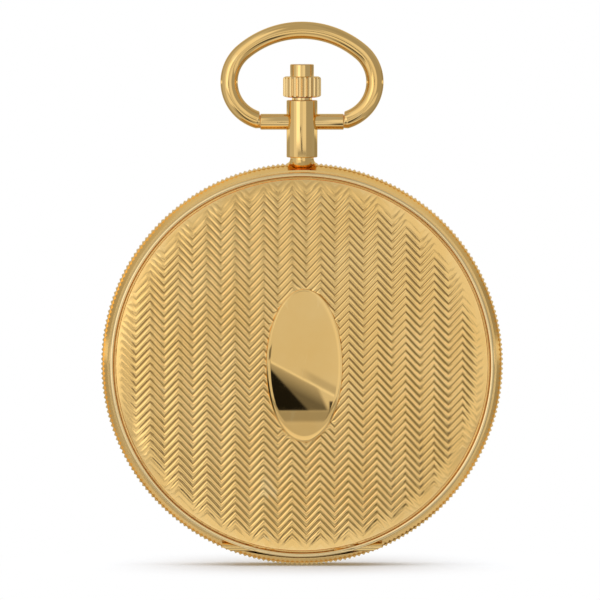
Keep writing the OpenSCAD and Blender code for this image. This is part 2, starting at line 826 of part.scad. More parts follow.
module catch_spring() {
    stem_hole_r = stem_r + 0.12;
    color(steel) upright() difference() {
        union() {
            intersection() {
                ring(leaf_r - leaf_t, leaf_r, -leaf_h / 2, leaf_h / 2);
                rotate(90 - 5) sector(catch_a + 5);
            }
            translate([catch_at[0], catch_at[1], -leaf_h / 2]) cylinder(r = catch_eye_r, h = leaf_h);
            translate([-nose_w / 2, leaf_r - leaf_t, leaf_h / 2 - eps])
                cube([nose_w, nose_out_r - leaf_r + leaf_t, 0.2]);
            translate([-nose_w / 2, nose_out_r - nose_t, leaf_h / 2 - eps])
                cube([nose_w, nose_t, band_front + nose_up - leaf_h / 2]);
        }
        for (x = [-nose_shift, 0]) translate([x, 0, 0]) along_y(stem_hole_r, chamber_r - 3, case_r);
        translate([-nose_shift, chamber_r - 3, -stem_hole_r]) cube([nose_shift, 4, 2 * stem_hole_r]);
        translate([catch_at[0], catch_at[1], -leaf_h]) cylinder(r = catch_pivot_r + run, h = 2 * leaf_h);
    }
}

module lift_spring() {
    color(steel) upright() {
        intersection() {
            ring(leaf_r - lift_t, leaf_r, -lift_w / 2, lift_w / 2);
            rotate(-90) sector(spring_a);
        }
        translate([0, -leaf_r, -lift_w / 2]) cube([finger_w, lift_t, finger_z + finger_h + lift_w / 2]);
        translate([0, finger_y, finger_z]) {
            cube([finger_w, lift_t - leaf_r - finger_y, finger_h]);
            cube([finger_w, finger_t, hinge_z - barrel_r - 0.05 - finger_z]);
        }
    }
}

module hinge_pin() {
    color(steel) upright() along_hinge(pin_d / 2 - 0.01, barrel_l - 1);
}

module front_cover() {
    color(gold) upright() difference() {
        union() {
            difference() {
                union() {
                    rotate_extrude() {
                        dome_section(field_r, cover_floor, front_edge_z, front_rise);
                        translate([field_r - 1, cover_floor]) square([fine_ring_r - field_r + 1, field_h - 0.12]);
                        translate([field_r - 1, cover_floor])
                            square([cover_r - field_r + 1, bead_h - seat_gap]);
                        translate([bead_r, bead_z]) circle(r = bead_d / 2);
                        translate([fine_ring_r, front_edge_z - 0.1]) circle(r = fine_ring_d / 2, $fn = 48);
                    }
                    shield();
                }
                rotate_extrude() inner_section();
            }
            along_hinge(barrel_r, knuckle_l);
        }
        along_hinge(pin_d / 2 + run, barrel_l + 2);
        intersection() {
            difference() {
                along_hinge(barrel_r + swing, barrel_l + 2 * swing);
                along_hinge(2 * barrel_r, knuckle_l);
            }
            cylinder(r = case_r, h = 3 * band_front);
        }
    }
}

// Half section of the hollow inside the front cover
module inner_section() {
    intersection() {
        translate([0, front_top_z - front_big_r]) circle(r = front_big_r - cover_t, $fn = fine);
        square([rim_in_r, 3 * band_front]);
    }
}

// The plain oval shield in the middle of the front cover, a pillow raised over the dome
module shield() {
    intersection() {
        translate([shield_x, 0, front_edge_z]) linear_extrude(3) polygon([
            for (a = [0 : 5 : 355]) [shield_w * cos(a), shield_h * sin(a)]
        ]);
        rotate_extrude() intersection() {
            translate([0, front_top_z + shield_t - shield_r]) circle(r = shield_r, $fn = fine);
            square([field_r, 3 * band_front]);
        }
    }
}

// The bail's centreline on the right: each entry is a point, and the direction from its arc's centre
function bail_arc(c, r, from, to, n) = [
    for (i = [0 : n - 1]) let (t = from + (to - from) * i / n) [c + r * [cos(t), sin(t)], t]
];

// Right half of the bail, from the joint with the arm up to the top of the wire
function bail_half() =
    let (
        a = bail_top_a,
        ab = bail_top_a + bail_side_a,
        top_c = [0, bail_top() - bail_top_r],
        side_c = top_c + (bail_top_r - bail_side_r) * [sin(a), cos(a)],
        foot_c = side_c + (bail_side_r - bail_foot_r) * [sin(ab), cos(ab)],
        end = -acos((arm_x + slip - foot_c[0]) / bail_foot_r)
    )
    concat(
        bail_arc(foot_c, bail_foot_r, end, 90 - ab, 4),
        bail_arc(side_c, bail_side_r, 90 - ab, 90 - a, 15),
        bail_arc(top_c, bail_top_r, 90 - a, 90, 8)
    );

// One ring of the wire's section round a centreline point; the first is cut square to the arm
function wire_ring(at, cut, sides) = [
    for (j = [0 : sides - 1])
        let (
            b = j * 360 / sides,
            out = [cos(at[1]), sin(at[1])],
            p = at[0] + wire_d / 2 * cos(b) * out,
            slide = cut ? (at[0][0] - p[0]) / -out[1] : 0
        )
        [p[0] - slide * out[1], p[1] + slide * out[0], wire_d / 2 * sin(b)]
];

module bail() {
    sides = 20;
    half = bail_half();
    n = len(half);
    top = [[0, bail_top()], 90];
    right = [for (i = [0 : n - 1]) wire_ring(half[i], i == 0, sides)];
    left = [for (i = [n - 1 : -1 : 0]) [for (p = right[i]) [-p[0], p[1], p[2]]]];
    rings = concat(right, [wire_ring(top, false, sides)], left);
    last = (len(rings) - 1) * sides;
    color(gold) upright() {
        polyhedron([for (r = rings) each r], concat(
            [for (i = [0 : len(rings) - 2], j = [0 : sides - 1], k = [0, 1])
                let (p = i * sides + j, q = i * sides + (j + 1) % sides)
                k == 0 ? [p, q, q + sides] : [p, q + sides, p + sides]],
            [for (j = [1 : sides - 2]) [0, j + 1, j]],
            [for (j = [1 : sides - 2]) [last, last + j, last + j + 1]]
        ));
        for (side = [-1, 1]) translate([side * (arm_x + 0.2), arm_y, 0]) rotate([0, 90, 0])
            cylinder(r = pivot_d / 2, h = 2 * pivot_l - 0.1, center = true);
    }
}

// Height of the wire's middle at its top
function bail_top() =
    let (a = bail_top_a, ab = bail_top_a + bail_side_a)
    arm_y + bail_top_r * (1 - cos(a)) + bail_side_r * (cos(a) - cos(ab)) + bail_foot_r * (1 + cos(ab));

module crown() {
    edge = 0.25;
    color(gold) upright() difference() {
        union() {
            intersection() {
                rotate([-90, 0, 0]) rotate_extrude() polygon([
                    [0, crown_y], [crown_r - 0.45, crown_y], [crown_r - 0.1, crown_y + 0.12],
                    [crown_r, crown_y + edge], [crown_r, crown_top - edge - 0.05],
                    [crown_r - 0.08, crown_top - 0.12], [crown_r - 0.3, crown_top], [0, crown_top]
                ]);
                difference() {
                    along_y(crown_r + 1, crown_y - 1, crown_top + 1);
                    for (i = [0 : crown_flutes - 1]) rotate([0, (i + 0.5) * 360 / crown_flutes, 0])
                        translate([0, crown_y - 1, crown_r + 0.08]) rotate([-90, 0, 0])
                            cylinder(r = 0.26, h = crown_h + 2, $fn = 32);
                }
            }
            along_y(collar_r, collar_y, crown_y + eps);
        }
        along_y(stem_r + 0.01, collar_y - 1, spring_floor);
        along_y(rod_r + run, spring_floor - 1, button_floor);
        along_y(spring_bore_r, spring_floor, button_floor);
        along_y(button_r + run, button_floor - 0.8, crown_top + 1);
        difference() {
            along_y(collar_r + 1, collar_y + 0.35, collar_y + 0.65);
            along_y(collar_r - 0.2, collar_y, collar_y + 1);
        }
    }
}

module crown_gasket() {
    color(rubber) upright() translate([0, collar_y + 0.5, 0]) rotate([-90, 0, 0]) rotate_extrude()
        translate([collar_r - 0.1 + 0.02, 0]) circle(r = 0.12, $fn = 32);
}

module crown_stem() {
    slot_from = cross_y - press_travel - cross_r - 0.05;
    slot_l = press_travel + 2 * cross_r + 0.1;
    color(steel) upright() difference() {
        union() {
            along_y(stem_r, square_to, spring_floor - 0.02);
            translate([-square_w / 2, clutch_y - 0.6, -square_w / 2])
                cube([square_w, square_to - clutch_y + 0.6 + eps, square_w]);
            along_y(0.3, clutch_y - 1.4, clutch_y - 0.6 + eps);
        }
        along_y(rod_r + run, cross_y - press_travel - 0.5, tube_to);
        translate([-stem_r - 1, slot_from, -cross_r - 0.02]) cube([2 * stem_r + 2, slot_l, 2 * cross_r + 0.04]);
        difference() {
            along_y(stem_r + 1, groove_y - groove_w / 2, groove_y + groove_w / 2);
            along_y(groove_r, groove_y - groove_w, groove_y + groove_w);
        }
    }
}

module clutch_wheel() {
    color(steel) upright() difference() {
        union() {
            along_y(0.78, clutch_y, clutch_y + clutch_l);
            translate([0, clutch_y, 0]) rotate([-90, 0, 0]) toothed(12, 0.15, 0.5);
        }
        translate([-square_w / 2 - 0.02, clutch_y - 1, -square_w / 2 - 0.02])
            cube([square_w + 0.04, clutch_l + 2, square_w + 0.04]);
        difference() {
            along_y(1, clutch_y + 0.8, clutch_y + 1.2);
            along_y(0.68, clutch_y, clutch_y + 2);
        }
    }
}

module setting_lever() {
    at = lever_at;
    color(steel) upright() difference() {
        union() {
            translate([0, 0, lever_z]) linear_extrude(0.2) {
                translate(at) circle(r = 0.6);
                translate([0, groove_y]) circle(r = 0.3);
                polygon([at + [-0.1, -0.55], at + [-0.1, 0.4], [0, groove_y + 0.28], [0, groove_y - 0.28]]);
            }
            translate([0, groove_y, groove_r + 0.06]) cylinder(r = 0.14, h = lever_z + 0.1 - groove_r - 0.06);
        }
        translate([at[0], at[1], 0]) cylinder(r = lever_post_r + run, h = 3);
    }
}

module push_button() {
    top = crown_top + button_out;
    color(gold) upright() difference() {
        rotate([-90, 0, 0]) rotate_extrude() polygon([
            [0, button_floor - 0.05], [button_r, button_floor - 0.05], [button_r, top - 0.12],
            [button_r - 0.12, top], [0, top]
        ]);
        along_y(rod_r, button_floor - 1, button_floor + 0.9);
    }
}

module push_rod() {
    color(steel) upright() difference() {
        along_y(rod_r, cross_y - 0.4, button_floor + 0.9);
        translate([-1, cross_y, 0]) rotate([0, 90, 0]) cylinder(r = cross_r, h = 2, $fn = 32);
    }
}

module cross_pin() {
    color(steel) upright() translate([-cross_half, cross_y, 0]) rotate([0, 90, 0])
        cylinder(r = cross_r, h = 2 * cross_half, $fn = 32);
}

module release_collar() {
    color(brass) upright() difference() {
        along_y(release_r, release_y + 0.05, release_y + release_l);
        along_y(stem_r + run, release_y - 1, release_y + 2);
        translate([-2, cross_y, 0]) rotate([0, 90, 0]) cylinder(r = cross_r, h = 4, $fn = 32);
    }
}

// The return spring's wire as one helix, closed at both ends
module return_spring() {
    per_turn = 12;
    sides = 6;
    length = button_floor - 0.05 - spring_floor - spring_wire - 0.04;
    steps = spring_turns * per_turn;
    points = [
        for (i = [0 : steps], j = [0 : sides - 1])
            let (
                a = i * 360 / per_turn,
                b = j * 360 / sides,
                r = spring_r + spring_wire / 2 * cos(b)
            )
            [r * cos(a), spring_floor + spring_wire / 2 + 0.02 + length * i / steps + spring_wire / 2 * sin(b),
                r * sin(a)]
    ];
    walls = [
        for (i = [0 : steps - 1], j = [0 : sides - 1], k = [0, 1])
            let (p = i * sides + j, q = i * sides + (j + 1) % sides)
            k == 0 ? [p, q + sides, q] : [p, p + sides, q + sides]
    ];
    last = steps * sides;
    color(steel) upright() polyhedron(points, concat(
        walls,
        [for (j = [1 : sides - 2]) [0, j, j + 1]],
        [for (j = [1 : sides - 2]) [last, last + j + 1, last + j]]
    ));
}

// An arbor between the bridge and the main plate
module arbor(z0, z1) {
    translate([0, 0, z0]) cylinder(r = arbor_r, h = z1 - z0, $fn = 48);
}

module rotor() {
    color(steel) upright() translate([rotor_at[0], rotor_at[1], 0]) {
        arbor(bridge_z - bridge_t + 0.1, plate_z + 0.2);
        translate([0, 0, -0.9]) cylinder(r = 0.7, h = 0.75);
        translate([0, 0, -1.3]) rotate(rotor_a + 180 + 180 / rotor_leaves)
            toothed(rotor_leaves, rotor_mod, 0.41, 0.36);
    }
}

module fifth_wheel() {
    color(brass) upright() translate([fifth_at[0], fifth_at[1], 0]) {
        arbor(bridge_z - bridge_t + 0.1, plate_z + 0.2);
        translate([0, 0, -1.25]) rotate(rotor_a) toothed(fifth_teeth, rotor_mod, wheel_t);
        translate([0, 0, -1.06]) rotate(fifth_a + 180 + 180 / fifth_leaves)
            toothed(fifth_leaves, fifth_mod, 0.46, 0.36);
    }
}

module second_wheel() {
    color(brass) upright() {
        arbor(bridge_z - bridge_t + 0.1, second_hand_z + second_hand_t);
        translate([0, 0, -0.85]) rotate(fifth_a) toothed(second_teeth, fifth_mod, wheel_t);
        translate([0, 0, -0.66]) rotate(third_a) toothed(second_leaves, second_mod, 0.46, 0.36);
    }
}

module third_wheel() {
    color(brass) upright() translate([third_at[0], third_at[1], 0]) {
        arbor(bridge_z - bridge_t + 0.1, plate_z + 0.2);
        translate([0, 0, -0.45]) rotate(third_a + 180 + 180 / third_teeth)
            toothed(third_teeth, second_mod, wheel_t);
        translate([0, 0, -0.26]) rotate(third_a + 180) toothed(third_leaves, third_mod, 0.55, 0.36);
    }
}

module center_wheel() {
    color(brass) upright() translate([0, 0, 0.07]) difference() {
        rotate(third_a + 180 / center_teeth) toothed(center_teeth, third_mod, wheel_t);
        translate([0, 0, -1]) cylinder(r = cannon_r + 0.01, h = 3);
    }
}

module cannon_pinion() {
    color(steel) upright() difference() {
        union() {
            translate([0, 0, -0.1]) cylinder(r = cannon_r, h = minute_hand_z + hand_t + 0.1);
            translate([0, 0, -0.1]) cylinder(r = cannon_r + 0.25, h = 0.16);
            translate([0, 0, motion_z]) rotate(minute_a) toothed(cannon_leaves, cannon_mod, 0.24, 0.38);
        }
        translate([0, 0, -1]) cylinder(r = arbor_r + 0.04, h = 5, $fn = 48);
    }
}

module minute_wheel() {
    color(brass) upright() translate([minute_at[0], minute_at[1], 0]) difference() {
        union() {
            translate([0, 0, motion_z]) rotate(minute_a + 180 + 180 / minute_teeth)
                toothed(minute_teeth, cannon_mod, wheel_t);
            translate([0, 0, motion_z + wheel_t - eps]) rotate(minute_a + 180 + 180 / minute_leaves)
                toothed(minute_leaves, minute_mod, 0.3, 0.36);
        }
        translate([0, 0, -1]) cylinder(r = post_r + run, h = 4, $fn = 48);
    }
}

module hour_wheel() {
    color(brass) upright() difference() {
        union() {
            translate([0, 0, hour_z]) rotate(minute_a) toothed(hour_teeth, minute_mod, wheel_t);
            translate([0, 0, hour_z]) cylinder(r = hour_tube_r, h = hour_hand_z + hand_t - hour_z);
        }
        translate([0, 0, -1]) cylinder(r = cannon_r + 0.04, h = 5);
    }
}

module setting_wheel() {
    color(brass) upright() translate([setting_at[0], setting_at[1], motion_z]) difference() {
        rotate(minute_a + 180) toothed(setting_teeth, cannon_mod, wheel_t);
        translate([0, 0, -1]) cylinder(r = post_r + run, h = 4, $fn = 48);
    }
}

// A hand pointing to twelve: a boss with its hole, a slim shank and a leaf that ends in a point
module hand(length, leaf_w, hole_r) {
    boss_r = hole_r + 0.5;
    shank_w = 0.4;
    difference() {
        union() {
            cylinder(r = boss_r, h = hand_t);
            linear_extrude(hand_t) polygon([
                [-0.7 * shank_w, hole_r + 0.05], [-shank_w / 2, length * 0.45], [-leaf_w / 2, length * 0.62],
                [-0.3 * shank_w, length * 0.92], [0, length], [0.3 * shank_w, length * 0.92],
                [leaf_w / 2, length * 0.62], [shank_w / 2, length * 0.45], [0.7 * shank_w, hole_r + 0.05]
            ]);
        }
        translate([0, 0, -1]) cylinder(r = hole_r, h = 2);
    }
}

module hour_hand() {
    color("#20242c") upright() translate([0, 0, hour_hand_z]) rotate(-30 * hours_now)
        hand(hour_l, hour_leaf_w, hour_tube_r + 0.005);
}

module minute_hand() {
    color("#20242c") upright() translate([0, 0, minute_hand_z]) rotate(-6 * minutes_now)
        hand(minute_l, minute_leaf_w, cannon_r + 0.005);
}

module second_hand() {
    tail = second_tail;
    color("#20242c") upright() translate([0, 0, second_hand_z]) rotate(-6 * shown_s) difference() {
        union() {
            cylinder(r = 0.5, h = second_hand_t);
            linear_extrude(second_hand_t)
                polygon([[-0.1, -tail], [-0.06, second_l], [0.06, second_l], [0.1, -tail]]);
            translate([0, -tail, 0]) cylinder(r = 0.55, h = second_hand_t);
        }
        translate([0, 0, -1]) cylinder(r = arbor_r + 0.005, h = 2, $fn = 48);
    }
}

case_band();
pendant();
bezel();
crystal_gasket();
crystal();
back_cover();
back_gasket();
movement_ring();
dial();
main_plate();
train_bridge();
bridge_screws();
stator();
coil();
circuit_board();
quartz_oscillator();
button_cell();
cell_strap();
catch_screw();
lift_spring();
hinge_pin();
front_cover();
bail();
catch_spring();
crown();
crown_stem();
crown_gasket();
return_spring();
clutch_wheel();
setting_lever();
push_button();
push_rod();
cross_pin();
release_collar();
rotor();
fifth_wheel();
second_wheel();
third_wheel();
center_wheel();
cannon_pinion();
minute_wheel();
hour_wheel();
setting_wheel();
hour_hand();
minute_hand();
second_hand();
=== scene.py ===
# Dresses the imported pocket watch: engraved chevrons, smooth bail, dial print, materials and studio.
# The row frame is in metres, with the front cover facing -Y and the pendant pointing to +Z. The sizes
# of the watch are in millimetres, for a watch that lies on its back: place() brings them to the frame.
import json
import math

import bmesh
import bpy
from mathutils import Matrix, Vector


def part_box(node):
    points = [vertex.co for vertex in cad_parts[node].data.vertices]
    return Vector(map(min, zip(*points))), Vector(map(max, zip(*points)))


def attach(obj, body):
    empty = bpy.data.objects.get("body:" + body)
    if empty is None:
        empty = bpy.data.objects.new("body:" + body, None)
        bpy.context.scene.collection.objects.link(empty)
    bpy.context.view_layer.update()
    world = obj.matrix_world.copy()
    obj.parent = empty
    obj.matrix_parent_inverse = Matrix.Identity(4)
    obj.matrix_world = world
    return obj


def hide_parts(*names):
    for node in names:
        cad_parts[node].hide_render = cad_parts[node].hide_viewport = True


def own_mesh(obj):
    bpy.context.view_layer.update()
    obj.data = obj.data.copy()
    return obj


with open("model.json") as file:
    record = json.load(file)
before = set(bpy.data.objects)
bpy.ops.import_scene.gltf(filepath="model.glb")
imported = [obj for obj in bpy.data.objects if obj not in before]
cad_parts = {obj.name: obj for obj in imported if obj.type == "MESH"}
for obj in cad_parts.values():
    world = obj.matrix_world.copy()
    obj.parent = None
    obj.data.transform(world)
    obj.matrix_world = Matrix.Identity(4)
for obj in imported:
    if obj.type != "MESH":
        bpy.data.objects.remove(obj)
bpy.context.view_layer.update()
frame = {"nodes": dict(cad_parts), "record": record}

MM = 0.001
# The row's y where the lying watch has z = 0, and the case's radius
STAND_Y = 0.75
CASE_R = 24.0


def place(x, y, z):
    """A point of the watch lying on its back, in millimetres, as a row point in metres."""
    return Vector((x * MM, (STAND_Y - z) * MM, (y + CASE_R) * MM))


class Shader:
    """A material's node tree with short calls for the nodes that the looks are made of."""

    def __init__(self, name):
        self.mat = bpy.data.materials.new(name)
        self.mat.use_nodes = True
        self.tree = self.mat.node_tree
        self.tree.nodes.clear()
        self.out = self.new("ShaderNodeOutputMaterial")
        self.bsdf = self.new("ShaderNodeBsdfPrincipled")
        self.link(self.bsdf.outputs["BSDF"], self.out.inputs["Surface"])
        coord = self.new("ShaderNodeTexCoord")
        scale = self.new("ShaderNodeVectorMath", operation="SCALE")
        scale.inputs["Scale"].default_value = 1 / MM
        self.link(coord.outputs["Object"], scale.inputs[0])
        self.mm = scale.outputs[0]

    def new(self, kind, **values):
        node = self.tree.nodes.new(kind)
        for key, value in values.items():
            setattr(node, key, value)
        return node

    def link(self, a, b):
        self.tree.links.new(a, b)

    def stretched(self, x, y, z):
        """Object coordinates in millimetres, scaled by one factor per axis."""
        node = self.new("ShaderNodeVectorMath", operation="MULTIPLY")
        self.link(self.mm, node.inputs[0])
        node.inputs[1].default_value = (x, y, z)
        return node.outputs[0]

    def noise(self, scale, detail=3.0, rough=0.5, vector=None, distortion=0.0):
        node = self.new("ShaderNodeTexNoise")
        node.inputs["Scale"].default_value = scale
        node.inputs["Detail"].default_value = detail
        node.inputs["Roughness"].default_value = rough
        node.inputs["Distortion"].default_value = distortion
        self.link(vector or self.mm, node.inputs["Vector"])
        return node.outputs["Fac"]

    def ramp(self, fac, low, high, a=0.0, b=1.0):
        """fac from low..high brought to a..b, clamped."""
        node = self.new("ShaderNodeMapRange")
        node.inputs["From Min"].default_value = low
        node.inputs["From Max"].default_value = high
        node.inputs["To Min"].default_value = a
        node.inputs["To Max"].default_value = b
        self.link(fac, node.inputs["Value"])
        return node.outputs["Result"]

    def math(self, operation, a, b):
        node = self.new("ShaderNodeMath", operation=operation)
        for socket, value in zip(node.inputs, (a, b)):
            if isinstance(value, (int, float)):
                socket.default_value = value
            else:
                self.link(value, socket)
        return node.outputs[0]

    def mix(self, fac, a, b):
        node = self.new("ShaderNodeMix", data_type="RGBA")
        self.link(fac, node.inputs["Factor"])
        for socket, value in ((node.inputs[6], a), (node.inputs[7], b)):
            if isinstance(value, tuple):
                socket.default_value = (*value, 1.0)
            else:
                self.link(value, socket)
        return node.outputs[2]

    def pointiness(self):
        return self.new("ShaderNodeNewGeometry").outputs["Pointiness"]

    def bump(self, height, strength, distance_mm):
        node = self.new("ShaderNodeBump")
        node.inputs["Strength"].default_value = strength
        node.inputs["Distance"].default_value = distance_mm * MM
        self.link(height, node.inputs["Height"])
        self.link(node.outputs["Normal"], self.bsdf.inputs["Normal"])

    def set(self, **sockets):
        names = {"base": "Base Color", "rough": "Roughness", "metal": "Metallic", "ior": "IOR",
                 "transmission": "Transmission Weight", "coat": "Coat Weight",
                 "coat_rough": "Coat Roughness", "specular": "Specular IOR Level",
                 "tint": "Specular Tint"}
        for key, value in sockets.items():
            socket = self.bsdf.inputs[names[key]]
            if isinstance(value, (int, float)):
                socket.default_value = value
            elif isinstance(value, tuple):
                socket.default_value = (*value, 1.0)
            else:
                self.link(value, socket)


# Materials
GOLD = (0.90, 0.585, 0.205)
# Deeper gold for the painted shade in recesses
GOLD_SHADE_RECESS = (0.66, 0.37, 0.09)
GOLD_PALE = (0.97, 0.72, 0.34)
# Dark gold for the painted shade in the engraved grooves
GOLD_GROOVE_SHADE = (0.27, 0.14, 0.028)
# Paler, lighter gold that paints the bead's highlight
GOLD_HIGHLIGHT = (1.0, 0.76, 0.39)
GRAZING_TINT = (1.0, 0.86, 0.6)
# Pointiness at which a recess, darkened with painted shade, starts and is full, and the same for an edge
RECESS, RUBBED = (0.495, 0.46), (0.51, 0.56)
# Height on a ridge, as a share of its relief, under which painted shade darkens the grooves
GROOVE_TOP = 0.36


def gold(name, rough, wear, recess_shade, scratch, base=GOLD, grooves=0.0, tint=GRAZING_TINT):
    """Gold plating: tone that drifts, hairline scratches, rubbed edges, duller recesses with painted shade,
    and, where asked, painted shade in the engraved grooves.
    """
    s = Shader(name)
    tone = s.ramp(s.noise(0.16, 4.0), 0.35, 0.68)
    color = s.mix(tone, base, tuple(0.72 * b + 0.28 * p for b, p in zip(base, GOLD_PALE)))
    point = s.pointiness()
    # Painted shade: recesses, found by pointiness, are darkened towards a deeper gold
    recess = s.ramp(point, *RECESS, 0.0, recess_shade)
    color = s.mix(recess, color, GOLD_SHADE_RECESS)
    edge = s.ramp(point, *RUBBED, 0.0, wear)
    color = s.mix(edge, color, GOLD_PALE)
    if grooves:
        # Painted shade: the engraved grooves are darkened by the height on the ridge
        ridge_height = s.new("ShaderNodeAttribute", attribute_name="ridge").outputs["Fac"]
        color = s.mix(s.ramp(ridge_height, GROOVE_TOP, 0.0, 0.0, grooves), color, GOLD_GROOVE_SHADE)
    hair = s.noise(2.4, 2.0, 0.6, s.stretched(0.5, 12.0, 16.0), 0.4)
    hair2 = s.noise(2.0, 2.0, 0.6, s.stretched(18.0, 12.0, 0.5), 0.3)
    lines = s.math("MAXIMUM", s.ramp(hair, 0.66, 0.72), s.ramp(hair2, 0.68, 0.74))
    cloud = s.ramp(s.noise(0.5, 5.0, 0.62), 0.3, 0.7, rough * 0.8, rough * 1.3)
    rough_out = s.math("ADD", cloud, s.math("MULTIPLY", lines, 0.05))
    rough_out = s.math("ADD", rough_out, s.math("MULTIPLY", recess, 0.18))
    s.set(base=color, metal=1.0, rough=rough_out, tint=tint)
    height = s.math("ADD", s.math("MULTIPLY", lines, -0.25), s.noise(6.0, 3.0))
    s.bump(height, scratch, 0.002)
    return s.mat


def metal(name, base, rough):
    """Brushed or turned metal: fine lines across one axis, soft clouds and painted shade in recesses."""
    s = Shader(name)
    brushed = s.noise(3.2, 3.0, 0.6, s.stretched(1.0, 1.0, 9.0))
    cloud = s.noise(0.6, 4.0)
    color = s.mix(s.ramp(cloud, 0.3, 0.7), base, tuple(0.78 * c for c in base))
    # Painted shade: recesses, found by pointiness, are darkened to a third of the colour
    color = s.mix(s.ramp(s.pointiness(), 0.495, 0.45, 0.0, 0.6), color, tuple(0.35 * c for c in base))
    s.set(base=color, metal=1.0, rough=s.ramp(brushed, 0.3, 0.7, rough * 0.75, rough * 1.35))
    s.bump(brushed, 0.3, 0.004)
    return s.mat


def striped(name, base, rough):
    """Plated movement plate with fine parallel stripes."""
    s = Shader(name)
    wave = s.new("ShaderNodeTexWave", wave_type="BANDS", bands_direction="DIAGONAL")
    wave.inputs["Scale"].default_value = 0.55
    wave.inputs["Distortion"].default_value = 0.2
    s.link(s.mm, wave.inputs["Vector"])
    fine = s.noise(4.0, 3.0, 0.6, s.stretched(6.0, 1.0, 6.0))
    color = s.mix(wave.outputs["Fac"], base, tuple(0.8 * c for c in base))
    s.set(base=color, metal=1.0, rough=s.ramp(fine, 0.3, 0.7, rough * 0.8, rough * 1.3))
    s.bump(s.math("ADD", wave.outputs["Fac"], fine), 0.3, 0.004)
    return s.mat


def plastic(name, base, rough, grain=5.0, spot=0.85):
    """Matt plastic, rubber or ink with a soft grain."""
    s = Shader(name)
    cloud = s.noise(grain, 4.0, 0.6)
    color = s.mix(s.ramp(cloud, 0.3, 0.7), base, tuple(spot * c for c in base))
    s.set(base=color, rough=s.ramp(cloud, 0.3, 0.7, rough * 0.85, rough * 1.15), specular=0.4)
    s.bump(cloud, 0.25, 0.006)
    return s.mat


def enamel(name, base, rough):
    """Painted dial: even colour under clear lacquer, with a faint fine grain."""
    s = Shader(name)
    grain = s.noise(9.0, 4.0, 0.6)
    color = s.mix(s.ramp(grain, 0.35, 0.65), base, tuple(0.965 * c for c in base))
    s.set(base=color, rough=s.ramp(grain, 0.3, 0.7, rough * 0.9, rough * 1.1), coat=0.35, coat_rough=0.12)
    s.bump(grain, 0.12, 0.002)
    return s.mat


def blued(name):
    """Blued steel, nearly black."""
    s = Shader(name)
    cloud = s.noise(0.8, 4.0)
    color = s.mix(s.ramp(cloud, 0.3, 0.7), (0.010, 0.014, 0.035), (0.018, 0.026, 0.07))
    s.set(base=color, metal=0.6, rough=s.ramp(s.noise(5.0), 0.3, 0.7, 0.2, 0.32), coat=0.3, coat_rough=0.1)
    s.bump(s.noise(7.0), 0.12, 0.002)
    return s.mat


def winding(name):
    """Enamelled copper wire wound in fine turns along X, with painted shade darkest in the gaps between the
    turns.
    """
    s = Shader(name)
    wave = s.new("ShaderNodeTexWave", wave_type="BANDS", bands_direction="X", wave_profile="SIN")
    wave.inputs["Scale"].default_value = 2.6
    wave.inputs["Distortion"].default_value = 0.15
    s.link(s.mm, wave.inputs["Vector"])
    # Painted shade: the wire is darker in the gaps between its turns and lighter on their tops
    color = s.mix(wave.outputs["Fac"], (0.22, 0.06, 0.02), (0.62, 0.24, 0.09))
    s.set(base=color, metal=0.8, rough=s.ramp(s.noise(3.0), 0.3, 0.7, 0.25, 0.4), coat=0.4, coat_rough=0.15)
    s.bump(wave.outputs["Fac"], 0.7, 0.03)
    return s.mat


def board(name):
    """Solder mask with darker lanes between rounded islands."""
    s = Shader(name)
    cells = s.new("ShaderNodeTexVoronoi", feature="DISTANCE_TO_EDGE")
    cells.inputs["Scale"].default_value = 1.1
    s.link(s.mm, cells.inputs["Vector"])
    lane = s.ramp(cells.outputs["Distance"], 0.03, 0.08)
    color = s.mix(lane, (0.03, 0.12, 0.06), (0.07, 0.24, 0.12))
    s.set(base=color, rough=s.ramp(s.noise(4.0), 0.3, 0.7, 0.25, 0.4), coat=0.3, coat_rough=0.1)
    s.bump(lane, 0.4, 0.01)
    return s.mat


def glass(name):
    """Clear mineral glass with a faint wave."""
    s = Shader(name)
    s.set(base=(0.985, 0.995, 1.0), transmission=1.0, ior=1.5,
          rough=s.ramp(s.noise(0.7, 4.0), 0.3, 0.7, 0.0, 0.03))
    s.bump(s.noise(0.25, 2.0), 0.05, 0.01)
    return s.mat


SHINE = gold("gold_polished", 0.06, wear=0.35, recess_shade=0.3, scratch=0.05)
MIRROR = gold("gold_mirror", 0.02, wear=0.2, recess_shade=0.3, scratch=0.015)
# The engraved gold, with painted shade in its recesses and grooves
ENGRAVED = gold("gold_engraved", 0.14, wear=0.55, recess_shade=0.75, scratch=0.12, grooves=0.9)
EDGE = gold("gold_milled", 0.15, wear=0.2, recess_shade=0.7, scratch=0.12, tint=(1.0, 0.82, 0.54))
# Painted highlight: the bead is a lighter copy of the gold
BEAD = gold("gold_bead", 0.12, wear=0.1, recess_shade=0.1, scratch=0.03, base=GOLD_HIGHLIGHT)
FLUTED = gold("gold_fluted", 0.10, wear=0.2, recess_shade=0.5, scratch=0.03, base=(0.86, 0.60, 0.26))
BRASS = metal("brass_wheels", (0.80, 0.58, 0.27), 0.26)
STEEL = metal("steel_bright", (0.72, 0.73, 0.75), 0.22)
PLATE = striped("plate_gilt", (0.86, 0.70, 0.42), 0.24)
RUBBER = plastic("rubber_seal", (0.03, 0.03, 0.032), 0.75, 8.0, 0.7)
HOLDER = plastic("holder_white", (0.72, 0.71, 0.67), 0.45)
DIAL = enamel("dial_enamel", (0.87, 0.85, 0.77), 0.4)
BLUED = blued("hands_blued")
INK = plastic("dial_ink", (0.012, 0.012, 0.014), 0.45, 9.0, 0.6)

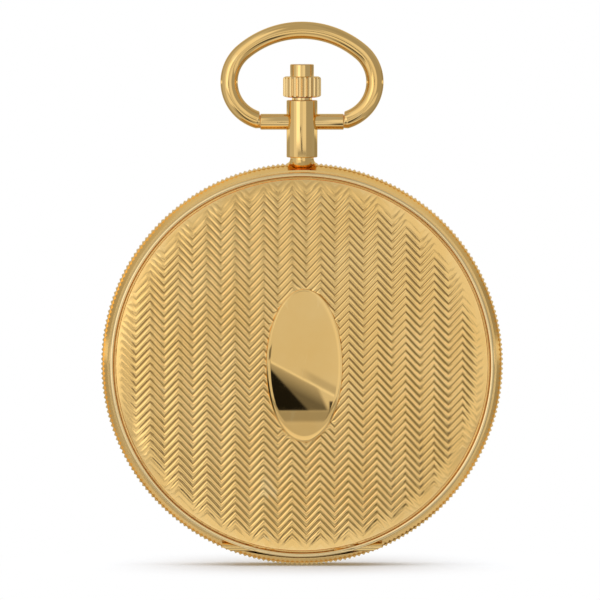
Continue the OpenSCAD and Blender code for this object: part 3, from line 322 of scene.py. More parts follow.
NODE_MATERIALS = {
    "gold": SHINE, "steel": STEEL, "brass": BRASS, "rubber": RUBBER, "crystal": glass("crystal_glass"),
    "dial_white": DIAL, "holder_white": HOLDER, "coil_copper": winding("coil_wire"),
    "board_green": board("board_mask"), "hand_blue": BLUED,
}
BY_NODE = {"case_band": EDGE, "crown": FLUTED, "main_plate": PLATE, "train_bridge": PLATE}
SLOTS = {part["node"]: part["material_slot"] for part in frame["record"]["subparts"]}
for node_name, node in frame["nodes"].items():
    look = BY_NODE.get(node_name) or NODE_MATERIALS[SLOTS[node_name]]
    node.data.materials.clear()
    node.data.materials.append(look)


# Points nearer to each other than this, in metres, become one
WELD = 1e-7


def mesh_object(name, verts, faces, material, smooth=True, sharp_deg=None, heights=None):
    """A mesh with its material; heights are stored on its points as the attribute ridge."""
    mesh = bpy.data.meshes.new(name)
    mesh.from_pydata(verts, [], faces)
    if heights:
        mesh.attributes.new("ridge", "FLOAT", "POINT").data.foreach_set("value", heights)
    bm = bmesh.new()
    bm.from_mesh(mesh)
    bmesh.ops.remove_doubles(bm, verts=bm.verts, dist=WELD)
    bmesh.ops.recalc_face_normals(bm, faces=bm.faces)
    bm.to_mesh(mesh)
    bm.free()
    for poly in mesh.polygons:
        poly.use_smooth = smooth
    if sharp_deg is not None:
        mesh.set_sharp_from_angle(angle=math.radians(sharp_deg))
    mesh.materials.append(material)
    obj = bpy.data.objects.new(name, mesh)
    bpy.context.scene.collection.objects.link(obj)
    return obj


# Engraved chevrons, in millimetres: width of a zigzag, spacing of the lines, place of a peak, height of
# the zigzag, slant of the whole pattern, relief, how full a ridge is, and the ring in which they run out
PERIOD = 3.38
PITCH = 0.9225
PEAK_X = -1.17
PHASE_Y = 0.97
ZIG = 1.8
TILT = 0.011
RELIEF = 0.1
RIDGE_POWER = 2.3
FADE_FROM, FADE_TO = 0.25, 2.3
# Places across one ridge at which it gets points
STEPS = (0.0, 0.07, 0.16, 0.3, 0.5, 0.7, 0.84, 0.93)
# The sheet's thickness, how far inside the rim its regular and its last columns end, how far from the
# rim and from the hole's sides it has extra ones, and how near a stretch's ends no point is added
SHEET = 0.12
COLUMNS_END, LAST_COLUMN = 0.02, 0.015
NEAR_RIM, NEAR_HOLE = (0.08, 0.2, 0.4), (0.05, 0.16, 0.35)
CLOSEST = 0.004
TINY = 1e-6


def zigzag(x):
    """How far the chevron's lines lie below its peaks at x, on a pattern turned by a hair."""
    t = ((x - PEAK_X) / PERIOD) % 1.0
    return -ZIG * (2 * t if t < 0.5 else 2 * (1 - t)) - TILT * x


def ridge(t):
    """Height of the rounded ridge between two grooves as a share of the relief, t from 0 to 1."""
    return 1 - abs(2 * t - 1) ** RIDGE_POWER


def faded(height, x, y, radius):
    """The ridge's height where the pattern runs out towards the edge of its field."""
    t = min(max((radius - FADE_FROM - math.hypot(x, y)) / (FADE_TO - FADE_FROM), 0.0), 1.0)
    return 1 - (1 - height) * t * t * (3 - 2 * t)


def chevron_skin(name, radius, surface, hole, side):
    """A closed sheet with chevron ridges on it, cut to a disc with an oval hole.

    surface(x, y) is the height that it lies on, and side is 1 for the front and -1 for the back."""
    hole_x, hole_y, hole_w, hole_h = hole
    sub = PERIOD / 6
    first = math.ceil((-radius + COLUMNS_END - PEAK_X) / sub)
    last = math.floor((radius - COLUMNS_END - PEAK_X) / sub)
    xs = [PEAK_X + i * sub for i in range(first, last + 1)]
    xs += [hole_x - hole_w, hole_x + hole_w, -radius + LAST_COLUMN, radius - LAST_COLUMN]
    xs += [s * (radius - d) for s in (-1, 1) for d in NEAR_RIM]
    xs += [hole_x + s * (hole_w - d) for s in (-1, 1) for d in NEAR_HOLE]
    xs = sorted(set(round(x, 5) for x in xs))

    def column(x):
        """The column's stretches of (line number, y), lowest first: two where the hole parts them."""
        top = math.sqrt(radius * radius - x * x)
        u = (x - hole_x) / hole_w
        spans = [(-top, top)]
        if abs(u) < 1 - TINY:
            gap = hole_h * math.sqrt(1 - u * u)
            spans = [(-top, hole_y - gap), (hole_y + gap, top)]
        elif abs(u) < 1 + TINY:
            spans = [(-top, hole_y), (hole_y, top)]
        base = PHASE_Y + zigzag(x)
        out = []
        for lo, hi in spans:
            points = [((lo - base) / PITCH, lo)]
            for k in range(math.floor((lo - base) / PITCH) - 1, math.ceil((hi - base) / PITCH) + 1):
                for t in STEPS:
                    y = base + (k + t) * PITCH
                    if lo + CLOSEST < y < hi - CLOSEST:
                        points.append((k + t, y))
            points.append(((hi - base) / PITCH, hi))
            out.append(points)
        return out

    verts, faces, index, heights = [], [], {}, []

    def vert(x, line, y):
        key = (round(x, 5), round(y, 5))
        if key not in index:
            index[key] = len(verts)
            height = faded(ridge(line % 1.0), x, y, radius)
            heights.append(height)
            verts.append((x, y, surface(x, y) + side * RELIEF * height))
        return index[key]

    def zipper(xa, pa, xb, pb):
        """Triangles and quads between two columns whose points are sorted by line number."""
        i = j = 0
        while i < len(pa) - 1 or j < len(pb) - 1:
            a, b = vert(xa, *pa[i]), vert(xb, *pb[j])
            next_a = pa[i + 1][0] if i < len(pa) - 1 else None
            next_b = pb[j + 1][0] if j < len(pb) - 1 else None
            if next_a is not None and next_b is not None and abs(next_a - next_b) < TINY:
                faces.append((a, b, vert(xb, *pb[j + 1]), vert(xa, *pa[i + 1])))
                i, j = i + 1, j + 1
            elif next_b is None or (next_a is not None and next_a < next_b):
                faces.append((a, b, vert(xa, *pa[i + 1])))
                i += 1
            else:
                faces.append((a, b, vert(xb, *pb[j + 1])))
                j += 1

    def joined(stretches):
        return stretches[0] if len(stretches) == 1 else stretches[0][:-1] + stretches[1]

    columns = [(x, column(x)) for x in xs]
    for (xa, sa), (xb, sb) in zip(columns, columns[1:]):
        if len(sa) == 2 and len(sb) == 2 and abs((xa + xb) / 2 - hole_x) < hole_w:
            for pa, pb in zip(sa, sb):
                zipper(xa, pa, xb, pb)
        else:
            zipper(xa, joined(sa), xb, joined(sb))

    count = len(verts)
    verts += [(x, y, surface(x, y) - side * SHEET) for x, y, _ in verts]
    edges = {}
    for face in faces:
        for a, b in zip(face, face[1:] + face[:1]):
            edges[(a, b)] = edges.get((a, b), 0) + 1
    walls = [(b, a, a + count, b + count) for a, b in edges if (b, a) not in edges]
    faces += [tuple(v + count for v in reversed(face)) for face in faces[:]] + walls
    points = [place(*v) for v in verts]
    return mesh_object(name, points, faces, ENGRAVED, sharp_deg=26, heights=heights + heights)


# Domes of the covers, as in the part's source
FIELD_R = 22.12
FRONT_TOP = 5.5
FRONT_RISE = 1.6
FRONT_BIG_R = (FIELD_R ** 2 + FRONT_RISE ** 2) / (2 * FRONT_RISE)
# The shield's middle, half its width and height, and its top
SHIELD_X, SHIELD_Y, SHIELD_W, SHIELD_H = 0.28, 0.0, 4.5, 9.07
SHIELD_TOP = 5.8
BACK_FLAT_R = 10.0
BACK_TOP = -4.15
BACK_RISE = 0.85
BACK_BIG_R = ((FIELD_R - BACK_FLAT_R) ** 2 + BACK_RISE ** 2) / (2 * BACK_RISE)


def front_dome(x, y):
    return FRONT_TOP - FRONT_BIG_R + math.sqrt(FRONT_BIG_R ** 2 - x * x - y * y)


def back_dome(x, y):
    out = max(math.hypot(x, y) - BACK_FLAT_R, 0.0)
    return BACK_TOP + BACK_BIG_R - math.sqrt(BACK_BIG_R ** 2 - out * out)


def finish_piece(piece, body, replaced=None):
    """Lets the piece ride on its body, and take the place of a solid if one is named."""
    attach(piece, body)
    if replaced:
        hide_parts(replaced)
    return piece


SKIN_FIELD_R = FIELD_R - 0.02
SHIELD_GAP, DISC_GAP = 0.03, 0.3
shield_hole = (SHIELD_X, SHIELD_Y, SHIELD_W + SHIELD_GAP, SHIELD_H + SHIELD_GAP)
finish_piece(chevron_skin("cover_chevrons", SKIN_FIELD_R, front_dome, shield_hole, 1), "front_cover")
disc_hole = (0.0, 0.0, BACK_FLAT_R + DISC_GAP, BACK_FLAT_R + DISC_GAP)
finish_piece(chevron_skin("back_chevrons", SKIN_FIELD_R, back_dome, disc_hole, -1), "case")


def circle(count):
    """Angles all the way round, in radians."""
    return [2 * math.pi * i / count for i in range(count)]


def swept(name, path, material, closed=False):
    """A tube or moulding along a path, each entry of which is a ring of points."""
    rings, sides = len(path), len(path[0])
    verts = [p for ring in path for p in ring]
    faces = []
    for i in range(rings if closed else rings - 1):
        for j in range(sides):
            a, b = i * sides + j, i * sides + (j + 1) % sides
            after = (i + 1) % rings * sides
            c, d = after + (j + 1) % sides, after + j
            faces.append((a, b, c, d))
    if not closed:
        faces += [tuple(range(sides)), tuple(range((rings - 1) * sides, rings * sides))]
    return mesh_object(name, verts, faces, material, sharp_deg=40)


# Radius of the polished skin on the shield
SKIN_R = 124.0
# Across the shield's edge: distance out from its outline, and share of the drop to the engraved dome
SHIELD_EDGE = ((-0.22, 0.0), (-0.19, 0.02), (-0.07, 0.14), (-0.03, 0.22), (0.01, 0.4), (0.04, 0.68),
               (0.05, 1.0))


def skin_height(x, y):
    """Height of the polished skin over the shield."""
    return SHIELD_TOP - (x * x + y * y) / (2 * SKIN_R)


def shield_skin(count=192, rings=14):
    """The polished oval with its narrow bevel and rounded edge, down to the engraved dome."""
    cx, cy, w, h = SHIELD_X, SHIELD_Y, SHIELD_W, SHIELD_H
    path = []
    for a in circle(count):
        x, y = cx + w * math.cos(a), cy + h * math.sin(a)
        nx, ny = math.cos(a) / w, math.sin(a) / h
        length = math.hypot(nx, ny)
        nx, ny = nx / length, ny / length
        start, end = SHIELD_EDGE[0][0], SHIELD_EDGE[-1][0]
        inner = (x + start * nx, y + start * ny)
        ring = []
        for k in range(1, rings + 1):
            px, py = cx + (inner[0] - cx) * k / rings, cy + (inner[1] - cy) * k / rings
            ring.append((px, py, skin_height(px, py)))
        top, low = ring[-1][2], front_dome(x, y) + 0.02
        for off, drop in SHIELD_EDGE[1:]:
            ring.append((x + off * nx, y + off * ny, top + (low - top) * drop))
        ring.append((x + end * nx, y + end * ny, low - 0.06))
        path.append([place(*p) for p in ring])
    sides = len(path[0])
    verts = [p for ring in path for p in ring]
    verts += [place(cx, cy, skin_height(cx, cy)), place(cx, cy, front_dome(cx, cy) - 0.04)]
    faces, middle = [], count * sides
    for i in range(count):
        a, b = i * sides, (i + 1) % count * sides
        faces += [(a + j, a + j + 1, b + j + 1, b + j) for j in range(sides - 1)]
        faces += [(a, b, middle), (a + sides - 1, middle + 1, b + sides - 1)]
    return mesh_object("shield_skin", verts, faces, MIRROR, sharp_deg=40)


finish_piece(shield_skin(), "front_cover")

# Bead round the engraved field: radius and height across its crown
BEAD_PROFILE = ((22.54, 3.62), (22.42, 3.7), (22.44, 3.81), (22.5, 3.9), (22.58, 3.95), (22.67, 3.965),
                (22.76, 3.95), (22.84, 3.9), (22.9, 3.81), (22.92, 3.7), (22.8, 3.62))
# The hinge's axis, the solid bead's circle and wire, and half the length of the band's gutter
HINGE_Y, HINGE_Z = -21.7, 3.15
BEAD_R, BEAD_Z, BEAD_WIRE = 22.67, 3.62, 0.28
GUTTER_HALF = 11


def bead_point(i, r, z):
    """A point of the bead at i degrees, no farther from the hinge than the solid bead, to clear the band."""
    x, y = r * math.cos(math.radians(i)), r * math.sin(math.radians(i))
    dy, dz = y - HINGE_Y, z - HINGE_Z
    if dy < 0 and abs(x) < GUTTER_HALF:
        reach = math.hypot(math.sqrt(BEAD_R ** 2 - x * x) + HINGE_Y, BEAD_Z - HINGE_Z) + BEAD_WIRE
        shrink = min(reach / math.hypot(dy, dz), 1.0)
        y, z = HINGE_Y + dy * shrink, HINGE_Z + dz * shrink
    return place(x, y, z)


bead_path = [[bead_point(i, r, z) for r, z in BEAD_PROFILE] for i in range(360)]
finish_piece(swept("cover_bead", bead_path, BEAD, closed=True), "front_cover")

# Bail: its wire, the rounding of its ends across and along the wire, the height of the arms' axis, the
# radius and angle of the arcs from the top down to the arms, and where the wire ends
WIRE_R = 1.04
END_ROUNDING, END_DEPTH = 0.14, 0.07
ARM_Y = 28.87
TOP_R, TOP_A = 10.85, 40.6
SIDE_R, SIDE_A = 4.68, 101.8
FOOT_R = 5.0
JOINT_X = 5.03


def bail_centreline():
    """Points of the bail's right half with the angle on their arc, from the joint up to the top."""
    a, ab = math.radians(TOP_A), math.radians(TOP_A + SIDE_A)
    top_y = (ARM_Y + TOP_R * (1 - math.cos(a)) + SIDE_R * (math.cos(a) - math.cos(ab))
             + FOOT_R * (1 + math.cos(ab)))
    top = (0.0, top_y - TOP_R)
    side = (top[0] + (TOP_R - SIDE_R) * math.sin(a), top[1] + (TOP_R - SIDE_R) * math.cos(a))
    foot = (side[0] + (SIDE_R - FOOT_R) * math.sin(ab), side[1] + (SIDE_R - FOOT_R) * math.cos(ab))
    end = -math.acos((JOINT_X - foot[0]) / FOOT_R)
    # Middle, radius, first and last angle, and number of points
    arcs = ((foot, FOOT_R, end, math.pi / 2 - ab, 10),
            (side, SIDE_R, math.pi / 2 - ab, math.pi / 2 - a, 36),
            (top, TOP_R, math.pi / 2 - a, math.pi / 2, 20))
    points = []
    for centre, radius, start, stop, count in arcs:
        for i in range(count):
            t = start + (stop - start) * i / count
            points.append((centre[0] + radius * math.cos(t), centre[1] + radius * math.sin(t), t))
    points.append((0.0, top_y, math.pi / 2))
    return points


def bail_wire(sides=40):
    """The bow, cut upright at both ends where it meets the arms, with the ends' edges rounded off."""
    half = bail_centreline()
    path = []
    for mirror in (1, -1):
        rows = half if mirror == 1 else half[-2::-1]
        for x, y, t in rows:
            ring = []
            first = x == half[0][0]
            wire_r = WIRE_R - END_ROUNDING if first else WIRE_R
            cut = x if first else JOINT_X + END_DEPTH
            for b in circle(sides):
                out = wire_r * math.cos(b)
                px, py = x + out * math.cos(t), y + out * math.sin(t)
                if first or (t < 0 and px < cut):
                    slide = (cut - px) / -math.sin(t)
                    px, py = px - slide * math.sin(t), py + slide * math.cos(t)
                ring.append(place(mirror * px, py, wire_r * math.sin(b)))
            path.append(ring)
    return swept("bail_wire", path, SHINE)


finish_piece(bail_wire(), "bail", "bail")


def turned_piece(name, profile, material, along="y", sides=128):
    """A closed profile of (radius, distance) turned round the pendant's axis, or round the arms' along X."""
    path = []
    for a in circle(sides):
        c, s = math.cos(a), math.sin(a)
        if along == "y":
            path.append([place(r * c, d, r * s) for r, d in profile])
        else:
            path.append([place(d, ARM_Y + r * c, r * s) for r, d in profile])
    return swept(name, path, material, closed=True)


def rounded(r, d, edge, inward, steps=5):
    """Points of a rounded outer corner at radius r and distance d; inward is 1 if the piece lies below d."""
    points = []
    for i in range(steps + 1):
        a = math.radians(90 * i / steps)
        points.append((r - edge * (1 - math.cos(a)), d - inward * edge * (1 - math.sin(a))))
    return points if inward > 0 else points[::-1]


# Pendant: the tube's ends and radii, its socket for the crown, its bore for the stem, the flat on the
# band that it stands on, and the reach of its flared foot
TUBE_FROM, TUBE_TO = 24.62, 31.46
TUBE_R, NECK_R = 1.85, 1.4
SOCKET_R, SOCKET_FLOOR, STEM_BORE_R = 1.25, 29.1, 0.84
LAND_R = 23.2
FOOT_W, FOOT_FRONT, FOOT_BACK = 1.85, 2.8, 2.4
# Arms: radius, bore, and where they start and end on each side
ARM_R, ARM_BORE_R, ARM_FROM, ARM_X = 0.95, 0.44, 1.3, 4.98
# Button, with the hole that its rod is set in
BUTTON_R, BUTTON_FROM, BUTTON_TO, BUTTON_STROKE = 1.42, 33.2, 35.74, 0.7
ROD_HOLE_R, ROD_HOLE_TO = 0.42, BUTTON_TO - 0.8
# Rounding of the corners
CORNER, TOP_CORNER = 0.12, 0.14

tube_profile = ([(NECK_R, LAND_R), (NECK_R, TUBE_FROM)] + rounded(TUBE_R, TUBE_FROM, CORNER, -1)
                + rounded(TUBE_R, TUBE_TO, TOP_CORNER, 1)
                + [(SOCKET_R, TUBE_TO), (SOCKET_R, SOCKET_FLOOR), (STEM_BORE_R, SOCKET_FLOOR),
                   (STEM_BORE_R, LAND_R)])
finish_piece(turned_piece("pendant_tube", tube_profile, SHINE), "case", "pendant")
for side, label in ((-1, "left"), (1, "right")):
    arm_profile = [(r, side * d) for r, d in [(ARM_BORE_R, ARM_FROM), (ARM_R, ARM_FROM)]
                   + rounded(ARM_R, ARM_X, CORNER, 1, 4) + [(ARM_BORE_R, ARM_X)]]
    finish_piece(turned_piece("arm_" + label, arm_profile, SHINE, "x", 96), "case")
    # The bail's pin in the arm's bore, with the disc that joins it to the wire
    shoulder = [(r, side * d) for r, d in ((0.0, 4.4), (0.4, 4.4), (0.4, 4.985), (0.78, 4.985),
                                           (0.78, 5.3), (0.0, 5.3))]
    finish_piece(turned_piece("shoulder_" + label, shoulder, SHINE, "x", 64), "bail")
button_profile = ([(ROD_HOLE_R, BUTTON_FROM), (BUTTON_R, BUTTON_FROM)]
                  + rounded(BUTTON_R, BUTTON_TO, TOP_CORNER, 1)
                  + [(0.0, BUTTON_TO), (0.0, ROD_HOLE_TO), (ROD_HOLE_R, ROD_HOLE_TO)])
finish_piece(turned_piece("button_cap", button_profile, SHINE), "button", "push_button")


def coil_spring(turns=5, coil_r=0.6, wire_r=0.1, per_turn=36, sides=12):
    """The spring under the button, standing on the floor of its bore."""
    low, high = (corner[2] / MM - CASE_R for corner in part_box("return_spring"))
    path = []
    for i in range(turns * per_turn + 1):
        a = 2 * math.pi * i / per_turn
        mid = low + wire_r + (high - low - 2 * wire_r) * i / (turns * per_turn)
        ring = []
        for b in circle(sides):
            r = coil_r + wire_r * math.cos(b)
            ring.append(place(r * math.cos(a), mid + wire_r * math.sin(b), r * math.sin(a)))
        path.append(ring)
    return swept("button_spring", path, STEEL)


spring = finish_piece(coil_spring(), "crown", "return_spring")
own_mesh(spring)


def saddle_foot(sides=96, steps=16):
    """The flared foot of the pendant, down from the round neck to its saddle on the milled edge."""
    top, start = TUBE_FROM - 0.1, NECK_R + 0.012
    inner_r, inner_y = 0.9, LAND_R - 0.3
    path = []
    for i in range(steps + 1):
        a = math.radians(90 * i / steps)
        flare = 1 - math.cos(a)
        ring = []
        for b in circle(sides):
            reach = FOOT_FRONT if math.sin(b) > 0 else FOOT_BACK
            deep = top - CASE_R + 0.08 + (CASE_R - LAND_R - 0.15) * math.sin(b) ** 2
            ring.append(place((start + (FOOT_W - start) * flare) * math.cos(b), top - deep * math.sin(a),
                              (start + (reach - start) * flare) * math.sin(b)))
        path.append(ring)
    path.append([place(inner_r * math.cos(b), inner_y, inner_r * math.sin(b)) for b in circle(sides)])
    return swept("pendant_foot", path, SHINE)


finish_piece(saddle_foot(), "case")


# Dial print: the dial's height, how far the ink stands over it and reaches into it, and the radius and
# height of the numerals
DIAL_Z = 1.9
PRINT_T, PRINT_SINK = 0.02, 0.01
NUMERAL_R = 15.1
NUMERAL_H = 3.0
HOURS = ("XII", "I", "II", "III", "IIII", "V", "VI", "VII", "VIII", "IX", "X", "XI")
# Minute track: its two circles with their line's width, width and inner end of the ticks, and their
# outer end
TRACK, TRACK_LINE = (17.3, 18.0), 0.07
HOUR_TICK, MINUTE_TICK, TICK_END = (0.26, 17.2), (0.1, 17.35), 17.95


def slab(verts, faces, outline):
    """Adds a flat printed shape, given by its outline on the dial, to a mesh's lists."""
    start, count = len(verts), len(outline)
    for z in (DIAL_Z - PRINT_SINK, DIAL_Z + PRINT_T):
        verts.extend(place(x, y, z) for x, y in outline)
    faces.append(tuple(range(start + count, start + 2 * count)))
    faces.append(tuple(reversed(range(start, start + count))))
    for i in range(count):
        j = (i + 1) % count
        faces.append((start + i, start + j, start + count + j, start + count + i))


def turned(points, angle, x=0.0, y=0.0):
    """The outline turned by the angle and then moved by (x, y)."""
    c, s = math.cos(angle), math.sin(angle)
    return [(x + c * px - s * py, y + s * px + c * py) for px, py in points]


def stroke(x0, y0, x1, y1, w):
    """The outline of a straight stroke of width w."""
    length = math.hypot(x1 - x0, y1 - y0)
    nx, ny = -(y1 - y0) / length * w / 2, (x1 - x0) / length * w / 2
    return [(x0 + nx, y0 + ny), (x0 - nx, y0 - ny), (x1 - nx, y1 - ny), (x1 + nx, y1 + ny)]


def numeral(text):
    """Strokes of a Roman numeral round the origin, with its foot towards the dial's centre."""
    h, thick, thin, serif, inset, gap = NUMERAL_H / 2, 0.34, 0.14, 0.12, 0.25, 0.08
    widths = {"I": 0.72, "V": 1.7, "X": 1.7}
    shapes, x = [], -sum(widths[c] for c in text) / 2
    for c in text:
        w = widths[c]
        mid = x + w / 2
        if c == "I":
            shapes.append(stroke(mid, -h, mid, h, thick))
        elif c == "V":
            shapes += [stroke(x + inset, h, mid, -h, thick), stroke(x + w - inset, h, mid, -h, thin)]
        else:
            shapes += [stroke(x + inset, h, x + w - inset, -h, thick),
                       stroke(x + w - inset, h, x + inset, -h, thin)]
        shapes.append(stroke(x + gap, h, x + w - gap, h, serif))
        if c != "V":
            shapes.append(stroke(x + gap, -h, x + w - gap, -h, serif))
        x += w
    return shapes


def dial_print():
    """The printed numerals and minute track."""
    verts, faces = [], []
    for hour, text in enumerate(HOURS):
        a = -math.radians(30 * hour)
        for shape in numeral(text):
            slab(verts, faces, turned(shape, a, -math.sin(a) * NUMERAL_R, math.cos(a) * NUMERAL_R))
    for minute in range(60):
        a = -math.radians(6 * minute)
        w, r0 = HOUR_TICK if minute % 5 == 0 else MINUTE_TICK
        slab(verts, faces, turned([(-w / 2, r0), (w / 2, r0), (w / 2, TICK_END), (-w / 2, TICK_END)], a))
    for radius in TRACK:
        count = 180
        for i in range(count):
            a, b = 2 * math.pi * i / count, 2 * math.pi * (i + 1) / count
            slab(verts, faces, [(r * math.cos(t), r * math.sin(t))
                                for r, t in ((radius, a), (radius + TRACK_LINE, a),
                                             (radius + TRACK_LINE, b), (radius, b))])
    return mesh_object("dial_print", verts, faces, INK, smooth=False)


finish_piece(dial_print(), "case")


def stage_mesh(name, verts, faces):
    """A mesh of the studio with an empty material; returns it with the material's node tree."""
    mesh = bpy.data.meshes.new(name)
    mesh.from_pydata(verts, [], faces)
    obj = bpy.data.objects.new(name, mesh)
    bpy.context.scene.collection.objects.link(obj)
    mat = bpy.data.materials.new(name)
    mat.use_nodes = True
    mat.node_tree.nodes.clear()
    mesh.materials.append(mat)
    return obj, mat.node_tree


def only_reflected(obj):
    """Hides a stage object from everything but mirror reflections."""
    obj.visible_camera = False
    obj.visible_shadow = False
    obj.visible_diffuse = False
    obj.visible_transmission = False


# The tent's middle in millimetres over the floor, its radius in metres, its strength outside the panels,
# and the world's strength as a light
STAGE_Z = 30.0
TENT_R = 2.5
TENT_LEVEL = 0.74
WORLD_FILL = 0.25
FLOOR_COLOR = (0.88, 0.90, 0.935)
# Distance, in metres, at which the floor starts to turn white and at which it is, and how much of x
# counts in it
SHADOW_FULL, SHADOW_END, SHADOW_ROUND = 0.006, 0.028, 0.72
# Panels that the gold reflects: from and to in azimuth, from and to in elevation, softness of the
# edges, all in degrees, and strength; a later panel lies over an earlier one
PANELS = (
    (-200, 200, 14, 95, 4.0, 0.48),
    (-104, -62, -95, 95, 5.0, 0.60),
    (-62, -40, -95, 60, 4.0, 0.85),
    (30, 104, -95, 95, 4.0, 0.42),
    (6, 30, -8, 30, 4.0, 0.90),
    (-44, -12, 10, 50, 5.0, 1.00),
    (-42, -16, -6, 16, 2.5, 1.40),
    (-200, -104, -95, 14, 5.0, 0.42),
    (104, 200, -95, 14, 5.0, 0.34),
    (-200, -152, -30, 40, 5.0, 0.74),
    (152, 200, -30, 40, 5.0, 0.74),
    (-150, -104, -2.2, 1.0, 0.6, 0.98),
    (104, 150, -2.2, 1.0, 0.6, 0.95),
    (-15, -5, -2.0, -0.2, 0.3, 0.24),
    (-60, 60, -27, -12.5, 2.0, 0.83),
    (-60, 8, -27, -12.5, 3.0, 0.92),
    (-60, 60, -50, -27, 2.0, 0.47),
    (-36, -22, -48, -21, 3.0, 0.10),
    (9, 22, -48, -21, 3.0, 0.10),
    (-90, 90, -95, -50, 4.0, 0.77),
    (-30, 30, -9.7, -8.28, 0.3, 0.39),
    (-30, 30, -12.5, -9.7, 0.4, 0.61),
    (3.25, 3.7, -9.6, -7.2, 0.12, 0.05),
)
# The dark room behind the camera, in azimuth and elevation: its lower and its left edge, the height up to
# which it may be black, a bound outside it, and the slope and offset of its right edge, of its upper edge
# and of its black part's edge
ROOM_FLOOR, ROOM_LEFT, ROOM_TOP, ROOM_END = -8.28, -5.0, -2.6, 20.0
ROOM_SLOPE, ROOM_AT = 0.45, 0.63
STREAK_SLOPE, STREAK_AT = 0.5335, 4.62
BLACK_SLOPE, BLACK_AT = 1.1, 7.44
# Strengths: the band over the room's upper edge, the line on that edge, the room's bottom and top, and
# its black part
BAND_LEVEL, LINE_LEVEL, ROOM_LEVELS, BLACK_LEVEL = 0.56, 0.95, (0.16, 0.5), 0.012


class Stage:
    """Node calls for a stage object whose glow depends on the direction from the watch's middle."""

    def __init__(self, tree):
        self.new, self.link = tree.nodes.new, tree.links.new

    def calc(self, operation, *values):
        node = self.new("ShaderNodeMath")
        node.operation = operation
        for socket, value in zip(node.inputs, values):
            if isinstance(value, (int, float)):
                socket.default_value = value
            else:
                self.link(value, socket)
        return node.outputs[0]

    def ramp(self, value, low, high, a=0.0, b=1.0, kind="SMOOTHSTEP"):
        node = self.new("ShaderNodeMapRange")
        node.interpolation_type = kind
        node.inputs["From Min"].default_value = low
        node.inputs["From Max"].default_value = high
        node.inputs["To Min"].default_value = a
        node.inputs["To Max"].default_value = b
        self.link(value, node.inputs["Value"])
        return node.outputs["Result"]

    def window(self, value, low, high, soft):
        """1 where the value lies between low and high, with soft ends."""
        return self.calc("SUBTRACT", self.ramp(value, low - soft, low + soft),
                         self.ramp(value, high - soft, high + soft))

    def over(self, level, mask, strength):
        """The level with another one laid over it where the mask is 1."""
        return self.calc("ADD", level, self.calc("MULTIPLY", mask, self.calc("SUBTRACT", strength, level)))

    def sloping(self, along, across, slope, offset):
        """across + slope * along + offset, which is 0 on a sloping line."""
        return self.calc("ADD", self.calc("MULTIPLY_ADD", along, slope, offset), across)

    def both(self, a, b):
        return self.calc("MULTIPLY", a, b)

    def glow(self):
        """Emission by direction: the panels, and the dark room with its bright edge."""
        coord = self.new("ShaderNodeTexCoord")
        unit = self.new("ShaderNodeVectorMath")
        unit.operation = "NORMALIZE"
        self.link(coord.outputs["Object"], unit.inputs[0])
        split = self.new("ShaderNodeSeparateXYZ")
        self.link(unit.outputs[0], split.inputs[0])
        azimuth = self.calc("DEGREES", self.calc("ARCTAN2", split.outputs["X"],
                                                 self.calc("MULTIPLY", split.outputs["Y"], -1.0)))
        elevation = self.calc("DEGREES", self.calc("ARCSINE", split.outputs["Z"]))
        level = TENT_LEVEL
        for az0, az1, el0, el1, soft, strength in PANELS:
            mask = self.both(self.window(azimuth, az0, az1, soft), self.window(elevation, el0, el1, soft))
            level = self.over(level, mask, strength)
        streak = self.sloping(azimuth, elevation, STREAK_SLOPE, STREAK_AT)
        black = self.sloping(azimuth, elevation, BLACK_SLOPE, BLACK_AT)
        right = self.sloping(elevation, azimuth, ROOM_SLOPE, ROOM_AT)
        # A soft band over the room's upper edge, and the bright line on it
        band = self.both(self.window(streak, 0.3, 1.3, 0.3), self.window(azimuth, 0.5, 5.0, 1.0))
        level = self.over(level, band, BAND_LEVEL)
        line = self.both(self.window(streak, -0.05, 0.25, 0.12), self.window(azimuth, -4.4, 4.4, 0.4))
        level = self.over(level, line, LINE_LEVEL)
        # The room, darker towards its bottom, and its black part
        sides = self.both(self.window(azimuth, ROOM_LEFT, ROOM_END, 0.3), self.ramp(right, 0.3, -0.3))
        room = self.both(self.window(elevation, ROOM_FLOOR, ROOM_END, 0.12), sides)
        shade = self.ramp(streak, -1.9, 0.0, *ROOM_LEVELS, "LINEAR")
        level = self.over(level, self.both(room, self.ramp(streak, 0.1, -0.15)), shade)
        low = self.both(room, self.ramp(elevation, ROOM_TOP + 0.2, ROOM_TOP - 0.2))
        level = self.over(level, self.both(low, self.ramp(black, 0.25, -0.25)), BLACK_LEVEL)
        emit = self.new("ShaderNodeEmission")
        out = self.new("ShaderNodeOutputMaterial")
        self.link(level, emit.inputs["Strength"])
        self.link(emit.outputs[0], out.inputs[0])


def tent():
    """The soft light tent all round the watch, seen only in reflections."""
    verts, faces, step = [], [], 6
    azimuths, elevations = range(-180, 181, step), range(-90, 91, step)
    for e in elevations:
        for a in azimuths:
            az, el = math.radians(a), math.radians(e)
            verts.append((TENT_R * math.sin(az) * math.cos(el), -TENT_R * math.cos(az) * math.cos(el),
                          TENT_R * math.sin(el)))
    n = len(azimuths)
    for i in range(len(elevations) - 1):
        for j in range(n - 1):
            faces.append((i * n + j, i * n + j + 1, (i + 1) * n + j + 1, (i + 1) * n + j))
    obj, tree = stage_mesh("tent", verts, faces)
    Stage(tree).glow()
    only_reflected(obj)
    obj.location = (0, 0, STAGE_Z * MM)


def seen_rays(tree):
    """1 for camera, glossy and transmission rays, which see the white background, and 0 for others."""
    path = tree.nodes.new("ShaderNodeLightPath")
    seen = path.outputs["Is Camera Ray"]
    for kind in ("Is Glossy Ray", "Is Transmission Ray"):
        more = tree.nodes.new("ShaderNodeMath")
        more.operation = "MAXIMUM"
        tree.links.new(seen, more.inputs[0])
        tree.links.new(path.outputs[kind], more.inputs[1])
        seen = more.outputs[0]
    return seen


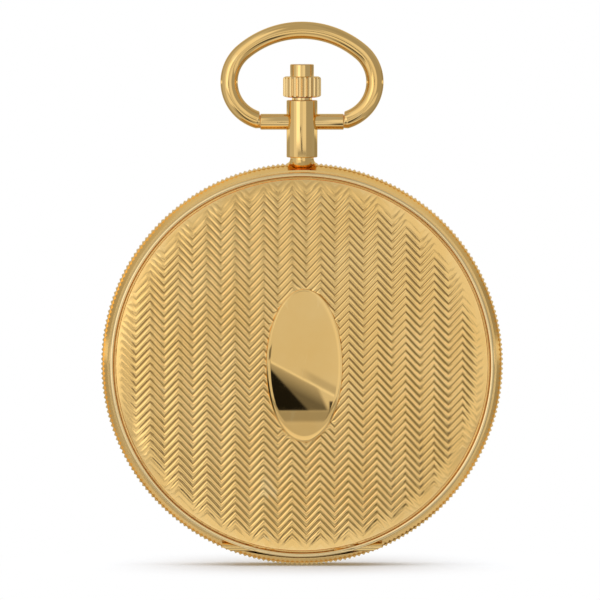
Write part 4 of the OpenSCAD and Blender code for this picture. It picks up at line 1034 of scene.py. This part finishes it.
def floor():
    """The pale floor: diffuse near the watch, where it keeps the shadow, and plain white farther off."""
    size = 3.0
    obj, tree = stage_mesh("floor", [(-size, -size, 0), (size, -size, 0), (size, size, 0), (-size, size, 0)],
                           [(0, 1, 2, 3)])
    new, link = tree.nodes.new, tree.links.new
    out = new("ShaderNodeOutputMaterial")
    diffuse = new("ShaderNodeBsdfDiffuse")
    diffuse.inputs["Color"].default_value = (*FLOOR_COLOR, 1)
    white = new("ShaderNodeEmission")
    white.inputs["Strength"].default_value = 1.0
    coord = new("ShaderNodeTexCoord")
    shape = new("ShaderNodeVectorMath")
    shape.operation = "MULTIPLY"
    shape.inputs[1].default_value = (SHADOW_ROUND, 1.0, 1.0)
    link(coord.outputs["Object"], shape.inputs[0])
    dist = new("ShaderNodeVectorMath")
    dist.operation = "LENGTH"
    link(shape.outputs[0], dist.inputs[0])
    far = new("ShaderNodeMapRange")
    far.interpolation_type = "SMOOTHSTEP"
    far.inputs["From Min"].default_value = SHADOW_FULL
    far.inputs["From Max"].default_value = SHADOW_END
    link(dist.outputs["Value"], far.inputs["Value"])
    fac = new("ShaderNodeMath")
    fac.operation = "MULTIPLY"
    link(far.outputs[0], fac.inputs[0])
    link(seen_rays(tree), fac.inputs[1])
    mix = new("ShaderNodeMixShader")
    link(fac.outputs[0], mix.inputs[0])
    link(diffuse.outputs[0], mix.inputs[1])
    link(white.outputs[0], mix.inputs[2])
    link(mix.outputs[0], out.inputs[0])
    obj.visible_glossy = False


def camera():
    """Level with the watch, slightly from above, with a long lens that frames it as photographed."""
    distance, elevation = 1.2, math.radians(2.5)
    # The photograph's pixels per millimetre, the pixel of the case's middle, and half the frame
    px_mm, centre_px, half = 8.375, (302.0, 363.5), 300
    data = bpy.data.cameras.new("camera")
    obj = bpy.data.objects.new("camera", data)
    bpy.context.scene.collection.objects.link(obj)
    bpy.context.scene.camera = obj
    data.sensor_width = 36
    data.lens = data.sensor_width * distance / (2 * half / px_mm * MM)
    target = Vector(((half - centre_px[0]) / px_mm * MM, STAND_Y * MM,
                     (CASE_R + (centre_px[1] - half) / px_mm) * MM))
    obj.location = target + distance * Vector((0, -math.cos(elevation), math.sin(elevation)))
    obj.rotation_euler = (math.pi / 2 - elevation, 0, 0)
    data.clip_start = 0.01
    data.clip_end = 20


def lamp(name, size, energy, spot):
    """A large soft lamp that faces the watch."""
    data = bpy.data.lights.new(name, "AREA")
    data.shape = "SQUARE"
    data.size = size
    data.energy = energy
    obj = bpy.data.objects.new(name, data)
    bpy.context.scene.collection.objects.link(obj)
    obj.location = spot
    aim = Vector((0, 0, 0.02))
    obj.rotation_euler = (aim - obj.location).to_track_quat("-Z", "Y").to_euler()
    obj.visible_glossy = False


def studio():
    """World, floor, camera, light tent and lamps."""
    scene = bpy.context.scene
    scene.view_settings.view_transform = "Standard"
    world = bpy.data.worlds.new("studio")
    scene.world = world
    world.use_nodes = True
    tree = world.node_tree
    tree.nodes.clear()
    out = tree.nodes.new("ShaderNodeOutputWorld")
    back = tree.nodes.new("ShaderNodeBackground")
    back.inputs["Color"].default_value = (1, 1, 1, 1)
    level = tree.nodes.new("ShaderNodeMapRange")
    level.inputs["To Min"].default_value = WORLD_FILL
    tree.links.new(seen_rays(tree), level.inputs["Value"])
    tree.links.new(level.outputs["Result"], back.inputs["Strength"])
    tree.links.new(back.outputs[0], out.inputs[0])
    floor()
    camera()
    tent()
    lamp("key", size=3.0, energy=37.0, spot=(-0.03, 0.2, 0.9))
    lamp("fill", size=1.0, energy=5.0, spot=(0.0, -1.5, 0.6))


studio()
